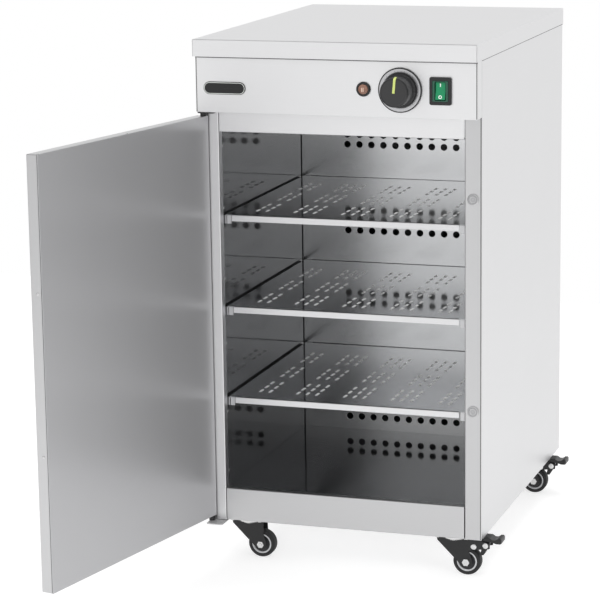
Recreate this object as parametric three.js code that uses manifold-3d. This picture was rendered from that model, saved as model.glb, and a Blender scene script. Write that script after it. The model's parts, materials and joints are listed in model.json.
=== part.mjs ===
// Plate-warming cart: a heated stainless cabinet with one hinged door, three slide-out perforated
// shelves and a heated air duct behind a perforated wall, standing on four swivel castors.
// Millimetres, +Z up, the front faces -Y, the right side +X. The origin is the centre of the base's
// underside, where the castors are bolted on. The door is drawn open, at doorOpening.

import * as THREE from 'three';
import { mergeVertices } from 'three/addons/utils/BufferGeometryUtils.js';
import Module from 'manifold-3d';

const wasm = await Module();
wasm.setup();

// ---------------------------------------------------------------------------------------------
// Driving dimensions
// ---------------------------------------------------------------------------------------------

// Cabinet shell
const bodyWidth = 447;            // over the side panels
const bodyDepth = 564;            // from the face of the front posts to the back of the rear panel
const bodyHeight = 775;           // from the underside to the top of the worktop
const sheet = 1.2;                // every folded sheet
const gap = 0.3;                  // between two pieces that touch
const postWidth = 26.5;           // front return of each side panel
const postReturn = 14;            // inward leg of each post
const rearFlange = 18;            // rear return of each side panel
const seam = 1.0;                 // dark line left between a post and the strips beside it

// Worktop and control panel
const worktopSide = 1.5;          // overhang at each side
const worktopFront = 36;          // overhang in front of the posts
const worktopSkirt = 26.5;        // height of the folded skirt
const panelProtrusion = 26;       // of the control panel in front of the posts
const panelDrop = 113.4;          // from the worktop's top to the control panel's lower edge
const headerDrop = 147.2;         // from the worktop's top to the header strip's lower edge
const headerHem = 12;             // fold under the header strip

// Heated chamber
const linerInset = 23.5;          // each side liner's face in from the body's side
const ductDepth = 145;            // from the perforated rear wall's face to the body's rear
const sillHeight = 52.7;          // strip under the doorway
const sillFold = 10;              // fold at the top of the sill
const floorDrop = 3.7;            // chamber floor below the top of the sill
const baseUpstand = 20;           // folded edge of the base pan

// Air holes in the chamber's rear wall
const airHole = 11.5;             // diameter
const airHolePitch = 21.3;        // along a row
const airRowPitch = 17;           // between the two rows of a band
const airHolesPerRow = 12;
const floorBandRise = 23;         // lower row of the lowest band above the chamber floor
const middleBandRise = 54.9;      // the same above the middle shelf
const topBandRise = 56.6;         // the same above the top shelf

// Shelves
const shelfCount = 3;
const topShelfDrop = 133.4;       // its top face below the header strip
const shelfPitch = 147.3;
const shelfSheet = 1.0;
const shelfSetback = 16;          // front lip behind the post face
const shelfBackGap = 3;           // between a shelf and the perforated wall
const slotMargin = 15;            // least distance from a slot to the end of the lip
const shelfSideGap = 1.5;         // between a shelf's edge and the doorway's side
const shelfLip = 9.8;             // height of the folded front and rear lips
const lipInset = 11.5;            // lip's end in from the shelf's side edge
const slotWidth = 5;
const slotPitch = 16;             // across, inside a cluster
const slotLength = 72;            // of a cluster's run of slots, front to back
const clusterPitchX = 78.5;
const clusterPitchY = 106;
const firstClusterSetback = 40;   // from the front lip to the first cluster
const runnerWidth = 14.5;         // ledge under the shelf's edge
const runnerHeight = 12;          // leg against the liner
const runnerFrontInset = 2;       // behind the shelf's front lip
const runnerRearInset = 5;        // in front of the shelf's rear edge

// Door
const doorOpening = 102;          // degrees open, as drawn
const doorSideInset = 2;          // shut door's free edge in from the worktop's side
const doorThickness = 20;
const doorBottom = 8;             // lower edge above the underside
const doorTopGap = 8.6;           // between its upper edge and the control panel
const doorGap = 3;                // between the shut door and the posts
const doorSkin = 1.0;
const hingeFromEdge = 6;          // pin axis from the door's hinge edge
const hingeFromInner = 5;         // pin axis from the door's inner face
const hingePin = 6;               // diameter
const bushSleeve = 9;             // diameter of the bush inside the door
const bushSleeveLength = 14;
const bushFloor = 2;              // of the bush beyond the pin's end
const bushFlange = 9.6;           // diameter of the bush's collar
const pinClearance = 0.35;        // between pin and bush, and bush and door
const hingePlateLength = 27;      // along X
const hingePlateDepth = 24;       // in front of the post face
const hingePlateUnder = 12;       // lower plate's reach under the base
const hingePlate = 2.5;           // thickness

// Door handle: a bow of round bar
const handleBar = 10;             // diameter
const handleSpan = 160;           // between the centres of its legs
const handleReach = 21;           // bar's centre line from the door's outer face
const handleFromEdge = 40;        // from the door's free edge
const handleDrop = 223;           // its middle below the door's upper edge

// Magnet catches
const catchDiameter = 17.5;
const catchThickness = 2.4;
const catchBead = 0.8;            // its raised rim
const catchRise = 198;            // lower one's middle above the door's lower edge
const catchDrop = 116;            // upper one's middle below the door's upper edge

// Control panel fittings
const fittingDrop = 71.2;         // centre line of lamp, dial and switch below the worktop's top
const badge = { inset: 47.2, drop: 75.3, length: 68, height: 19.5, thickness: 1.6 };
const lampInset = 176.9;          // from the body's right side
const lampDiameter = 22.4;
const lampBarrel = 12;            // diameter behind the panel
const lampDepth = 22;             // behind the panel
const lampBezelHeight = 3.4;      // in front of the panel
const lampSeat = 1.2;             // floor of the bezel in front of the panel
const lampLens = 15.4;            // diameter
const lampLensHeight = 5.4;       // in front of the panel
const dialInset = 119.3;          // from the body's right side
const dialDiameter = 68;
const dialThickness = 4;
const dialChamfer = 1;
const knobDiameter = 50;
const knobFlange = 7;             // height of the knob's foot
const knobNose = 42;              // diameter of the knob's front face
const knobLength = 38;
const knobLift = 1;               // between knob and panel, and all round between knob and dial
const spindleDiameter = 6;
const spindleLength = 26.6;       // in front of the panel
const pointerWidth = 3.2;
const pointerProud = 0.8;
const pointerDepth = 4.8;
const pointerStart = 2;           // from the knob's axis
const thermostat = { width: 44, height: 40, depth: 34 };
const switchInset = 56.5;         // from the body's right side
const switchWidth = 34;
const switchHeight = 42;
const switchRim = 2;              // flange beyond the panel's cut-out
const switchFlange = 3.5;         // in front of the panel
const switchDepth = 24;           // behind the panel
const rockerWidth = 22;
const rockerHeight = 26;
const rockerSideGap = 0.5;
const rockerEndGap = 1.9;         // above and below the rocker
const rockerPocket = 13;          // depth of its pocket
const rockerAxisDepth = 3;        // behind the frame's face
const rockerTilt = 8;             // degrees each side of level

// Heating element, air duct and rear fittings
const elementBar = 8;             // diameter
const elementHeight = 118;
const elementSideInset = 35;      // from the side liners
const elementLegX = 22;
const elementNear = 42;           // near run behind the chamber's rear wall
const elementRearInset = 42.3;    // far run in front of the rear panel
const elementFlangeMargin = 14;   // beyond its legs
const elementFlangeHeight = 26;
const elementFlangeSheet = 3;
const bulbDiameter = 6;
const bulbLength = 80;
const bulbDrop = 20;              // its top below the ceiling
const capillaryTube = 2.4;        // diameter
const capillaryBend = 6;          // radius of its bends
const capillaryReach = 24;        // behind the thermostat, before it drops to the ceiling
const glandInset = 73.5;          // from the body's right side
const glandDrop = 75;             // below the worktop's top
const glandBarrel = 16;           // diameter
const glandBore = 8.5;
const glandInside = 12;           // barrel's length inside the rear panel
const glandOutside = 8;
const glandNut = { outer: 25, inner: 24, thickness: 6 };   // across their corners
const terminal = { length: 56, depth: 22, height: 18, rearInset: 50, glandInset: 20 };
const terminalWay = { count: 4, pitch: 12, width: 8, depth: 8, floor: 6 };
const ventSlots = 7;
const ventSlotHeight = 36;
const ventSlotWidth = 6;
const ventPitch = 16;

// Castors
const castorHeight = 70;          // floor to underside
const castorInsetX = 52.5;        // swivel axis from the body's side
const castorInsetY = 44;          // swivel axis from the body's front and rear
const wheelDiameter = 45;
const wheelWidth = 17;
const hubDiameter = 33;
const castorTrail = 20;           // wheel axle behind the swivel axis
const castorPlate = 60;           // side of the square mounting plate
const castorPlateThickness = 2.5;
const raceDiameter = 40;
const raceHeight = 3.4;
const forkSheet = 2;
const forkGap = 1.6;              // between wheel and fork cheek
const forkNose = 28;              // top of the fork in front of the swivel axis
const forkHeel = 4;               // top of the fork behind the wheel's axle
const forkShoulder = 8;           // straight edge at the top of each cheek
const kingPin = 10;               // diameter
const kingPinHead = 3;            // its collar's height and overhang
const axleDiameter = 6;
const axleReach = 2.5;            // axle's end beyond the cheek
const axleNut = 11;               // across corners
const axleNutHeight = 4.5;
const axleEnd = 10;               // radius of the cheek round the axle
const runningClearance = 0.35;
const tyreShoulder = { width: 4, height: 3 };
const hubDish = { rim: 3, depth: 2.5 };
const hubInset = 0.8;             // hub's side in from the tyre's side
const brakePivot = { x: 51, drop: 18.5 };   // from the swivel axis and below the underside
const brakeRivet = { x: 12, drop: 3 };      // from the wheel's axle and below the pivot
const rivetHead = { diameter: 9.4, height: 1.5 };
const brakePin = 5;               // diameter
const shoeInset = 0.5;            // brake shoe's side in from the tyre's side
const pedalWidth = 26;

// ---------------------------------------------------------------------------------------------
// Derived places
// ---------------------------------------------------------------------------------------------

const halfBody = bodyWidth / 2;
const frontY = -bodyDepth / 2;                 // face of the posts
const rearY = bodyDepth / 2;
const doorwayHalf = halfBody - postWidth;      // half the clear width between the posts
const panelFace = frontY - panelProtrusion;
const panelBottom = bodyHeight - panelDrop;
const headerBottom = bodyHeight - headerDrop;
const fittingHeight = bodyHeight - fittingDrop;
const lampX = halfBody - lampInset;
const dialX = halfBody - dialInset;
const switchX = halfBody - switchInset;
const glandX = halfBody - glandInset;
const glandHeight = bodyHeight - glandDrop;
const underTop = bodyHeight - sheet - gap;     // top edge of everything under the worktop
const ceilingTop = panelBottom + sheet / 2;
const floorTop = sillHeight - floorDrop;
const ductY = rearY - ductDepth;               // front face of the perforated wall
const linerHalf = halfBody - linerInset;
const stripHalf = doorwayHalf - seam;          // half-length of the header strip and the sill
const behindPosts = frontY + postReturn + gap;
const rearPanelY = rearY - sheet;              // its inner face
const shelfFront = frontY + shelfSetback;
const shelfBack = ductY - shelfBackGap;
const shelfTops = Array.from(
  { length: shelfCount }, (_, i) => headerBottom - topShelfDrop - i * shelfPitch,
);
const shelfHalf = doorwayHalf - shelfSideGap;
const lipHalf = shelfHalf - lipInset;
const hingeX = -bodyWidth / 2 - worktopSide + hingeFromEdge;
const hingeY = frontY - doorGap - hingeFromInner;
const bulbY = ductY + sheet + gap + bulbDiameter / 2;   // the bulb lies on the wall's back
const doorOuter = hingeFromInner - doorThickness;   // outer face in front of the pin axis
const doorWidth = bodyWidth + 2 * worktopSide - doorSideInset;
const doorTop = panelBottom - doorTopGap;
const axleZ = -castorHeight + wheelDiameter / 2;

// ---------------------------------------------------------------------------------------------
// Materials
// ---------------------------------------------------------------------------------------------

const finish = (color, roughness, metalness) =>
  new THREE.MeshStandardMaterial({ color, roughness, metalness });

const steel = finish('#c9cacb', 0.35, 0.9);
const linerSteel = finish('#8e8f91', 0.3, 0.9);
const brightSteel = finish('#d8d9da', 0.2, 1.0);
const blackSteel = finish('#2b2b2c', 0.5, 0.4);
const blackPlastic = finish('#1d1e1f', 0.45, 0.0);
const blackRubber = finish('#232324', 0.8, 0.0);
const greyPlastic = finish('#a9aaac', 0.5, 0.0);
const greenPlastic = finish('#0d8a4c', 0.25, 0.0);
const amberLens = finish('#8a5a45', 0.2, 0.0);
const palePlastic = finish('#dedad0', 0.5, 0.0);
const copper = finish('#b06a42', 0.35, 1.0);

// ---------------------------------------------------------------------------------------------
// Geometry helpers
// ---------------------------------------------------------------------------------------------

// A box between two corners.
function box(x0, x1, y0, y1, z0, z1) {
  const shape = new THREE.BoxGeometry(x1 - x0, y1 - y0, z1 - z0);
  return shape.translate((x0 + x1) / 2, (y0 + y1) / 2, (z0 + z1) / 2);
}

// A flat outline in X and Y, extruded from z0 to z1.
function slab(points, z0, z1) {
  const shape = new THREE.Shape(points.map(([x, y]) => new THREE.Vector2(x, y)));
  const geometry = new THREE.ExtrudeGeometry(shape, { depth: z1 - z0, bevelEnabled: false });
  return geometry.translate(0, 0, z0);
}

// The same for an upright piece: the outline is in X and Z, from y0 to y1.
function upright(points, y0, y1) {
  return slab(points, -y1, -y0).rotateX(Math.PI / 2);
}

// A folded strip along X: the outline is in Y and Z.
function foldedStrip(points, x0, x1) {
  const alongX = new THREE.Matrix4().makeBasis(
    new THREE.Vector3(0, 1, 0), new THREE.Vector3(0, 0, 1), new THREE.Vector3(1, 0, 0),
  );
  return slab(points, x0, x1).applyMatrix4(alongX);
}

const rectangle = (x, y, width, height) => [
  [x - width / 2, y - height / 2],
  [x + width / 2, y - height / 2],
  [x + width / 2, y + height / 2],
  [x - width / 2, y + height / 2],
];

// A regular polygon whose corners lie on the circle, with one flat side at the bottom.
function ring(x, y, diameter, sides) {
  const points = [];
  for (let i = 0; i < sides; i += 1) {
    const angle = ((i + 0.5) / sides) * 2 * Math.PI - Math.PI / 2;
    points.push([x + (diameter / 2) * Math.cos(angle), y + (diameter / 2) * Math.sin(angle)]);
  }
  return points;
}

// A strip with round ends, drawn with a few points at each end.
function pill(x, y, length, height, steps = 6) {
  const points = [];
  const radius = height / 2;
  const reach = length / 2 - radius;
  for (const side of [1, -1]) {
    for (let i = 0; i <= steps; i += 1) {
      const angle = side * (-Math.PI / 2) + (i / steps) * Math.PI;
      points.push([x + side * reach + radius * Math.cos(angle), y + radius * Math.sin(angle)]);
    }
  }
  return points;
}

// A round bar along X, Y or Z through the given centre line.
function rod(axis, diameter, from, to, centre = [0, 0], sides = 12) {
  const bar = slab(ring(0, 0, diameter, sides), from, to);
  const [a, b] = centre;
  if (axis === 'x') return bar.rotateY(Math.PI / 2).translate(0, a, b);
  if (axis === 'y') return bar.rotateX(-Math.PI / 2).translate(a, 0, b);
  return bar.translate(a, b, 0);
}

// A turned piece: a closed outline of [radius, height] points, turned round Z.
function turned(profile, segments = 24) {
  const points = profile.map(([radius, height]) => new THREE.Vector2(radius, height));
  if (THREE.ShapeUtils.area(points) < 0) points.reverse();
  return new THREE.LatheGeometry(points, segments).rotateX(Math.PI / 2);
}

// The same for a piece that faces forward, like a knob: its heights run towards -Y.
const turnedForward = (profile, segments) => turned(profile, segments).rotateX(Math.PI / 2);

// Places are rounded to a tenth of a micron first, so that faces meant to meet lie exactly together.
const snap = (value) => Math.round(value * 1e4) / 1e4;

function toSolid(geometry) {
  const plain = geometry.clone();
  plain.deleteAttribute('normal');
  plain.deleteAttribute('uv');
  const merged = mergeVertices(plain, 1e-4);
  return new wasm.Manifold(new wasm.Mesh({
    numProp: 3,
    vertProperties: Float32Array.from(merged.attributes.position.array, snap),
    triVerts: new Uint32Array(merged.index.array),
  }));
}

function fromSolid(solid) {
  const { vertProperties, triVerts, numProp } = solid.getMesh();
  const positions = new Float32Array((vertProperties.length / numProp) * 3);
  for (let i = 0; i < positions.length / 3; i += 1) {
    for (let k = 0; k < 3; k += 1) {
      positions[i * 3 + k] = vertProperties[i * numProp + k];
    }
  }
  const geometry = new THREE.BufferGeometry();
  geometry.setAttribute('position', new THREE.BufferAttribute(positions, 3));
  geometry.setIndex(new THREE.BufferAttribute(new Uint32Array(triVerts), 1));
  geometry.computeVertexNormals();
  return geometry;
}

function joined(...geometries) {
  return fromSolid(geometries.map(toSolid).reduce((whole, piece) => whole.add(piece)));
}

function cutFrom(geometry, ...tools) {
  return fromSolid(tools.map(toSolid).reduce((left, tool) => left.subtract(tool), toSolid(geometry)));
}

// A flat sheet with openings: slabs through z0 to z1, or upright ones through y0 to y1.
function piercedSlab(outline, z0, z1, holes) {
  return cutFrom(slab(outline, z0, z1), ...holes.map((hole) => slab(hole, z0 - 1, z1 + 1)));
}

function piercedUpright(outline, y0, y1, holes) {
  return cutFrom(upright(outline, y0, y1), ...holes.map((hole) => upright(hole, y0 - 1, y1 + 1)));
}

// A bar of round section along straight runs with rounded corners.
function bentBar(points, diameter, bend, sides = 8, stepsPerBend = 4) {
  const corners = points.map((point) => new THREE.Vector3(...point));
  const line = [corners[0]];
  for (let i = 1; i < corners.length - 1; i += 1) {
    const before = corners[i].clone().sub(corners[i - 1]).normalize();
    const after = corners[i + 1].clone().sub(corners[i]).normalize();
    const start = corners[i].clone().addScaledVector(before, -bend);
    const end = corners[i].clone().addScaledVector(after, bend);
    const curve = new THREE.QuadraticBezierCurve3(start, corners[i], end);
    line.push(...curve.getPoints(stepsPerBend));
  }
  line.push(corners[corners.length - 1]);
  return sweep(line, diameter, sides);
}

// A round section carried along a line of points without twisting.
function sweep(line, diameter, sides) {
  const rings = [];
  let side = null;
  for (let i = 0; i < line.length; i += 1) {
    const next = line[Math.min(i + 1, line.length - 1)];
    const ahead = next.clone().sub(line[Math.max(i - 1, 0)]).normalize();
    if (side === null) {
      side = Math.abs(ahead.z) < 0.9 ? new THREE.Vector3(0, 0, 1) : new THREE.Vector3(1, 0, 0);
    }
    side = side.clone().addScaledVector(ahead, -side.dot(ahead)).normalize();
    const other = ahead.clone().cross(side);
    const points = [];
    for (let k = 0; k < sides; k += 1) {
      const angle = (k / sides) * 2 * Math.PI;
      points.push(line[i].clone()
        .addScaledVector(side, (diameter / 2) * Math.cos(angle))
        .addScaledVector(other, (diameter / 2) * Math.sin(angle)));
    }
    rings.push(points);
  }
  const positions = rings.flat().flatMap((point) => [point.x, point.y, point.z]);
  const indices = [];
  for (let i = 0; i + 1 < rings.length; i += 1) {
    for (let k = 0; k < sides; k += 1) {
      const a = i * sides + k;
      const b = i * sides + ((k + 1) % sides);
      indices.push(a, b, b + sides, a, b + sides, a + sides);
    }
  }
  const last = (rings.length - 1) * sides;
  for (let k = 1; k + 1 < sides; k += 1) {
    indices.push(0, k + 1, k);
    indices.push(last, last + k, last + k + 1);
  }
  const geometry = new THREE.BufferGeometry();
  geometry.setAttribute('position', new THREE.Float32BufferAttribute(positions, 3));
  geometry.setIndex(indices);
  geometry.computeVertexNormals();
  return geometry;
}

const cart = new THREE.Group();

function addPiece(parent, name, geometry, material, place = [0, 0, 0]) {
  const piece = new THREE.Mesh(geometry, material);
  piece.name = name;
  piece.position.set(...place);
  parent.add(piece);
  return piece;
}

function addGroup(parent, place = [0, 0, 0]) {
  const group = new THREE.Group();
  group.position.set(...place);
  parent.add(group);
  return group;
}

// ---------------------------------------------------------------------------------------------
// Cabinet shell
// ---------------------------------------------------------------------------------------------

// Each side panel is one folded sheet: web, front post with its inward leg, and rear flange.
// The rear panel stands behind the flange, between the two webs.
function addSidePanel(side, name) {
  const inner = halfBody - sheet;
  const flangeBack = rearPanelY - gap;
  const outline = [
    [halfBody, frontY],
    [halfBody, rearY],
    [inner, rearY],
    [inner, flangeBack],
    [halfBody - rearFlange, flangeBack],
    [halfBody - rearFlange, flangeBack - sheet],
    [inner, flangeBack - sheet],
    [inner, frontY + sheet],
    [doorwayHalf + sheet, frontY + sheet],
    [doorwayHalf + sheet, frontY + postReturn],
    [doorwayHalf, frontY + postReturn],
    [doorwayHalf, frontY],
  ];
  const mirrored = outline.map(([x, y]) => [side * x, y]);
  addPiece(cart, name, slab(mirrored, 0, underTop), steel);
}

function addRearPanel() {
  const half = halfBody - sheet - gap;
  const outline = rectangle(0, underTop / 2, 2 * half, underTop);
  const holes = [ring(glandX, glandHeight, glandBarrel + 2 * gap, 12)];
  for (let i = 0; i < ventSlots; i += 1) {
    const x = (i - (ventSlots - 1) / 2) * ventPitch;
    holes.push(rectangle(x, glandHeight, ventSlotWidth, ventSlotHeight));
  }
  addPiece(cart, 'rear_panel', piercedUpright(outline, rearPanelY, rearY, holes), steel);
}

// The base pan is folded up at the sides and rear, and its front fold is the sill.
function addBasePan() {
  const half = halfBody - sheet - gap;
  const back = rearPanelY - 2 * gap - sheet;
  const outer = box(-half, half, behindPosts, back, 0, baseUpstand);
  const inner = box(
    -half + sheet, half - sheet, behindPosts - 1, back - sheet, sheet, baseUpstand + 1,
  );
  const sill = foldedStrip([
    [frontY, 0],
    [behindPosts, 0],
    [behindPosts, sheet],
    [frontY + sheet, sheet],
    [frontY + sheet, sillHeight - sheet],
    [frontY + sillFold, sillHeight - sheet],
    [frontY + sillFold, sillHeight],
    [frontY, sillHeight],
  ], -stripHalf, stripHalf);
  addPiece(cart, 'base_pan', joined(cutFrom(outer, inner), sill), steel);
}

function addWorktop() {
  const half = halfBody + worktopSide;
  const front = frontY - worktopFront;
  const back = rearY + gap + sheet;
  const outer = box(-half, half, front, back, bodyHeight - worktopSkirt, bodyHeight);
  const inner = box(
    -half + sheet, half - sheet, front + sheet, back - sheet,
    bodyHeight - worktopSkirt - 1, bodyHeight - sheet,
  );
  addPiece(cart, 'worktop', cutFrom(outer, inner), steel);
}

// ---------------------------------------------------------------------------------------------
// Heated chamber
// ---------------------------------------------------------------------------------------------

const linerTop = ceilingTop - sheet - gap;

function addChamber() {
  for (const [side, name] of [[-1, 'liner_left'], [1, 'liner_right']]) {
    const inner = side * linerHalf;
    const outer = side * (linerHalf + sheet);
    const shape = box(
      Math.min(inner, outer), Math.max(inner, outer),
      frontY + sheet + gap, rearPanelY - 2 * gap - 2 * sheet, sheet + gap, linerTop,
    );
    addPiece(cart, name, shape, linerSteel);
  }
  addFloor();
  addCeiling();
  addDuctPanel();
}

// The floor fills the chamber behind the posts and reaches forward between them.
function addFloor() {
  const half = linerHalf - gap;
  const front = frontY + sheet + gap;
  const back = ductY - gap;
  const outline = [
    [-stripHalf, front],
    [stripHalf, front],
    [stripHalf, behindPosts],
    [half, behindPosts],
    [half, back],
    [-half, back],
    [-half, behindPosts],
    [-stripHalf, behindPosts],
  ];
  addPiece(cart, 'floor_panel', slab(outline, floorTop - sheet, floorTop), linerSteel);
}

// The ceiling rests on the liners. Its front edge is folded down as the header strip.
function addCeiling() {
  const half = linerHalf + sheet;
  const back = rearPanelY - 2 * gap - 2 * sheet;
  const under = ceilingTop - sheet;
  const room = 3 * capillaryTube;
  const hole = rectangle(dialX, bulbY - capillaryBend / 2, room, capillaryBend + room);
  const outline = rectangle(0, (behindPosts + back) / 2, 2 * half, back - behindPosts);
  const plate = piercedSlab(outline, under, ceilingTop, [hole]);
  const header = foldedStrip([
    [frontY, ceilingTop],
    [behindPosts, ceilingTop],
    [behindPosts, under],
    [frontY + sheet, under],
    [frontY + sheet, headerBottom + sheet],
    [frontY + headerHem, headerBottom + sheet],
    [frontY + headerHem, headerBottom],
    [frontY, headerBottom],
  ], -stripHalf, stripHalf);
  addPiece(cart, 'ceiling_panel', joined(plate, header), linerSteel);
}

// The perforated wall in front of the air duct, with a folded flange at each side.
function addDuctPanel() {
  const half = linerHalf - gap;
  const flange = ductY + postReturn;
  const channel = [
    [-half, ductY],
    [half, ductY],
    [half, flange],
    [half - sheet, flange],
    [half - sheet, ductY + sheet],
    [-half + sheet, ductY + sheet],
    [-half + sheet, flange],
    [-half, flange],
  ];
  const holes = [];
  const bands = [floorTop + floorBandRise, shelfTops[1] + middleBandRise, shelfTops[0] + topBandRise];
  for (const band of bands) {
    for (const z of [band, band + airRowPitch]) {
      for (let i = 0; i < airHolesPerRow; i += 1) {
        const x = (i - (airHolesPerRow - 1) / 2) * airHolePitch;
        holes.push(upright(ring(x, z, airHole, 6), ductY - 1, ductY + sheet + 1));
      }
    }
  }
  const wall = cutFrom(slab(channel, sheet + gap, linerTop), ...holes);
  addPiece(cart, 'duct_panel', wall, linerSteel);
}

// ---------------------------------------------------------------------------------------------
// Shelves and their runners
// ---------------------------------------------------------------------------------------------

function shelfSlots() {
  const slots = [];
  const clustersX = Math.floor((2 * lipHalf) / clusterPitchX) + 1;
  const clustersY = Math.floor((shelfBack - shelfFront - firstClusterSetback) / clusterPitchY);
  for (let i = 0; i < clustersX; i += 1) {
    const x = (i - (clustersX - 1) / 2) * clusterPitchX;
    for (let j = 0; j < clustersY; j += 1) {
      const y = shelfFront + firstClusterSetback + slotLength / 2 + j * clusterPitchY;
      for (const column of [-1, 0, 1]) {
        const centre = x + column * slotPitch;
        if (Math.abs(centre) + slotWidth / 2 < lipHalf - slotMargin) {
          slots.push(rectangle(centre, y, slotWidth, slotLength));
        }
      }
    }
  }
  return slots;
}

function addShelf(number, top) {
  const under = top - shelfSheet;
  const middle = (shelfFront + shelfBack) / 2;
  const outline = rectangle(0, middle, 2 * shelfHalf, shelfBack - shelfFront);
  const plate = piercedSlab(outline, under, top, shelfSlots());
  const lip = box(-lipHalf, lipHalf, shelfFront, shelfFront + shelfSheet, top - shelfLip, under);
  const rearLip = box(-lipHalf, lipHalf, shelfBack - shelfSheet, shelfBack, top - shelfLip, under);
  addPiece(cart, `shelf_${number}`, joined(plate, lip, rearLip), brightSteel);
}

// An angle under each edge of each shelf, fastened to the liner.
function addRunner(side, number, top) {
  const ledge = top - shelfSheet - gap;
  const wall = linerHalf - gap;
  const outline = [
    [wall, ledge - runnerHeight],
    [wall, ledge],
    [wall - runnerWidth, ledge],
    [wall - runnerWidth, ledge - sheet],
    [wall - sheet, ledge - sheet],
    [wall - sheet, ledge - runnerHeight],
  ].map(([x, z]) => [side * x, z]);
  const start = shelfFront + shelfSheet + runnerFrontInset;
  const name = `runner_${side < 0 ? 'left' : 'right'}_${number}`;
  addPiece(cart, name, upright(outline, start, shelfBack - runnerRearInset), steel);
}

function addShelves() {
  shelfTops.forEach((top, i) => {
    addShelf(i + 1, top);
    addRunner(-1, i + 1, top);
    addRunner(1, i + 1, top);
  });
}

// ---------------------------------------------------------------------------------------------
// Control panel and its fittings
// ---------------------------------------------------------------------------------------------

const switchBarrelWidth = switchWidth - 2 * switchRim;
const switchBarrelHeight = switchHeight - 2 * switchRim;

// A shallow box, open at the back, that stands on the posts' face under the worktop.
function addControlPanel() {
  const back = frontY - gap;
  const outer = box(-halfBody, halfBody, panelFace, back, panelBottom, underTop);
  const inner = box(
    -halfBody + sheet, halfBody - sheet, panelFace + sheet, back + 1,
    panelBottom + sheet, underTop - sheet,
  );
  const holes = [
    ring(lampX, fittingHeight, lampBarrel + 2 * gap, 12),
    ring(dialX, fittingHeight, spindleDiameter + 4, 8),
    rectangle(switchX, fittingHeight, switchBarrelWidth + 2 * gap, switchBarrelHeight + 2 * gap),
  ].map((hole) => upright(hole, panelFace - 1, panelFace + sheet + 1));
  addPiece(cart, 'control_panel', cutFrom(outer, inner, ...holes), steel);
}

const onPanel = panelFace - gap;      // where a fitting's flange sits

function addBadge() {
  const outline = pill(-halfBody + badge.inset, bodyHeight - badge.drop, badge.length, badge.height);
  addPiece(cart, 'badge_plate', upright(outline, onPanel - badge.thickness, onPanel), blackPlastic);
}

function addLamp() {
  const outer = lampDiameter / 2;
  const seat = lampLens / 2 + gap;
  const top = lampBezelHeight;
  const bezel = turnedForward([
    [0, -lampDepth], [lampBarrel / 2, -lampDepth], [lampBarrel / 2, gap], [outer, gap],
    [outer, top * 0.65], [outer - top * 0.47, top], [seat, top], [seat, lampSeat], [0, lampSeat],
    [0, -lampDepth],
  ]);
  addPiece(cart, 'lamp_bezel', bezel, blackPlastic, [lampX, panelFace, fittingHeight]);
  const foot = lampSeat + gap;
  const lens = turnedForward([
    [0, foot], [lampLens / 2, foot], [lampLens / 2, lampLensHeight * 0.67],
    [lampLens / 3, lampLensHeight * 0.93], [0, lampLensHeight], [0, foot],
  ]);
  addPiece(cart, 'lamp_lens', lens, amberLens, [lampX, panelFace, fittingHeight]);
}

function addThermostat() {
  const place = [dialX, 0, fittingHeight];
  const ringInner = knobDiameter / 2 + knobLift;
  const ringOuter = dialDiameter / 2;
  const dial = turnedForward([
    [ringInner, gap], [ringOuter, gap], [ringOuter, dialThickness - dialChamfer],
    [ringOuter - dialChamfer, dialThickness], [ringInner, dialThickness], [ringInner, gap],
  ], 32);
  addPiece(cart, 'dial_bezel', dial, brightSteel, [dialX, panelFace, fittingHeight]);

  const front = panelFace + sheet + gap;
  const { width, height, depth } = thermostat;
  const housing = box(-width / 2, width / 2, front, front + depth, -height / 2, height / 2);
  const bore = rod('y', spindleDiameter + 2 * runningClearance, front - 1, front + depth / 2);
  addPiece(cart, 'thermostat', cutFrom(housing, bore), palePlastic, place);

  const spindleBack = front + depth / 2 - gap;
  const spindle = rod('y', spindleDiameter, panelFace - spindleLength, spindleBack);
  addPiece(cart, 'knob_spindle', spindle, steel, place);
  addKnob(place);
}

// A round knob that narrows towards its face, with a raised pointer from its axis to its rim.
function addKnob(place) {
  const bore = spindleDiameter / 2 + gap;
  const boreEnd = spindleLength + gap;
  const foot = knobDiameter / 2;
  const nose = knobNose / 2;
  const grip = turnedForward([
    [bore, knobLift], [foot, knobLift], [foot, knobFlange], [foot - 2.5, knobFlange + 2],
    [nose + 1.2, knobLength - 3], [nose - 2, knobLength], [0, knobLength], [0, boreEnd],
    [bore, boreEnd], [bore, knobLift],
  ], 32).translate(0, panelFace, 0);
  const face = panelFace - knobLength;
  const pointer = box(
    -pointerWidth / 2, pointerWidth / 2, face - pointerProud, face - pointerProud + pointerDepth,
    pointerStart, nose - 1,
  );
  addPiece(cart, 'knob', joined(grip, pointer), blackPlastic, place);
}

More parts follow.
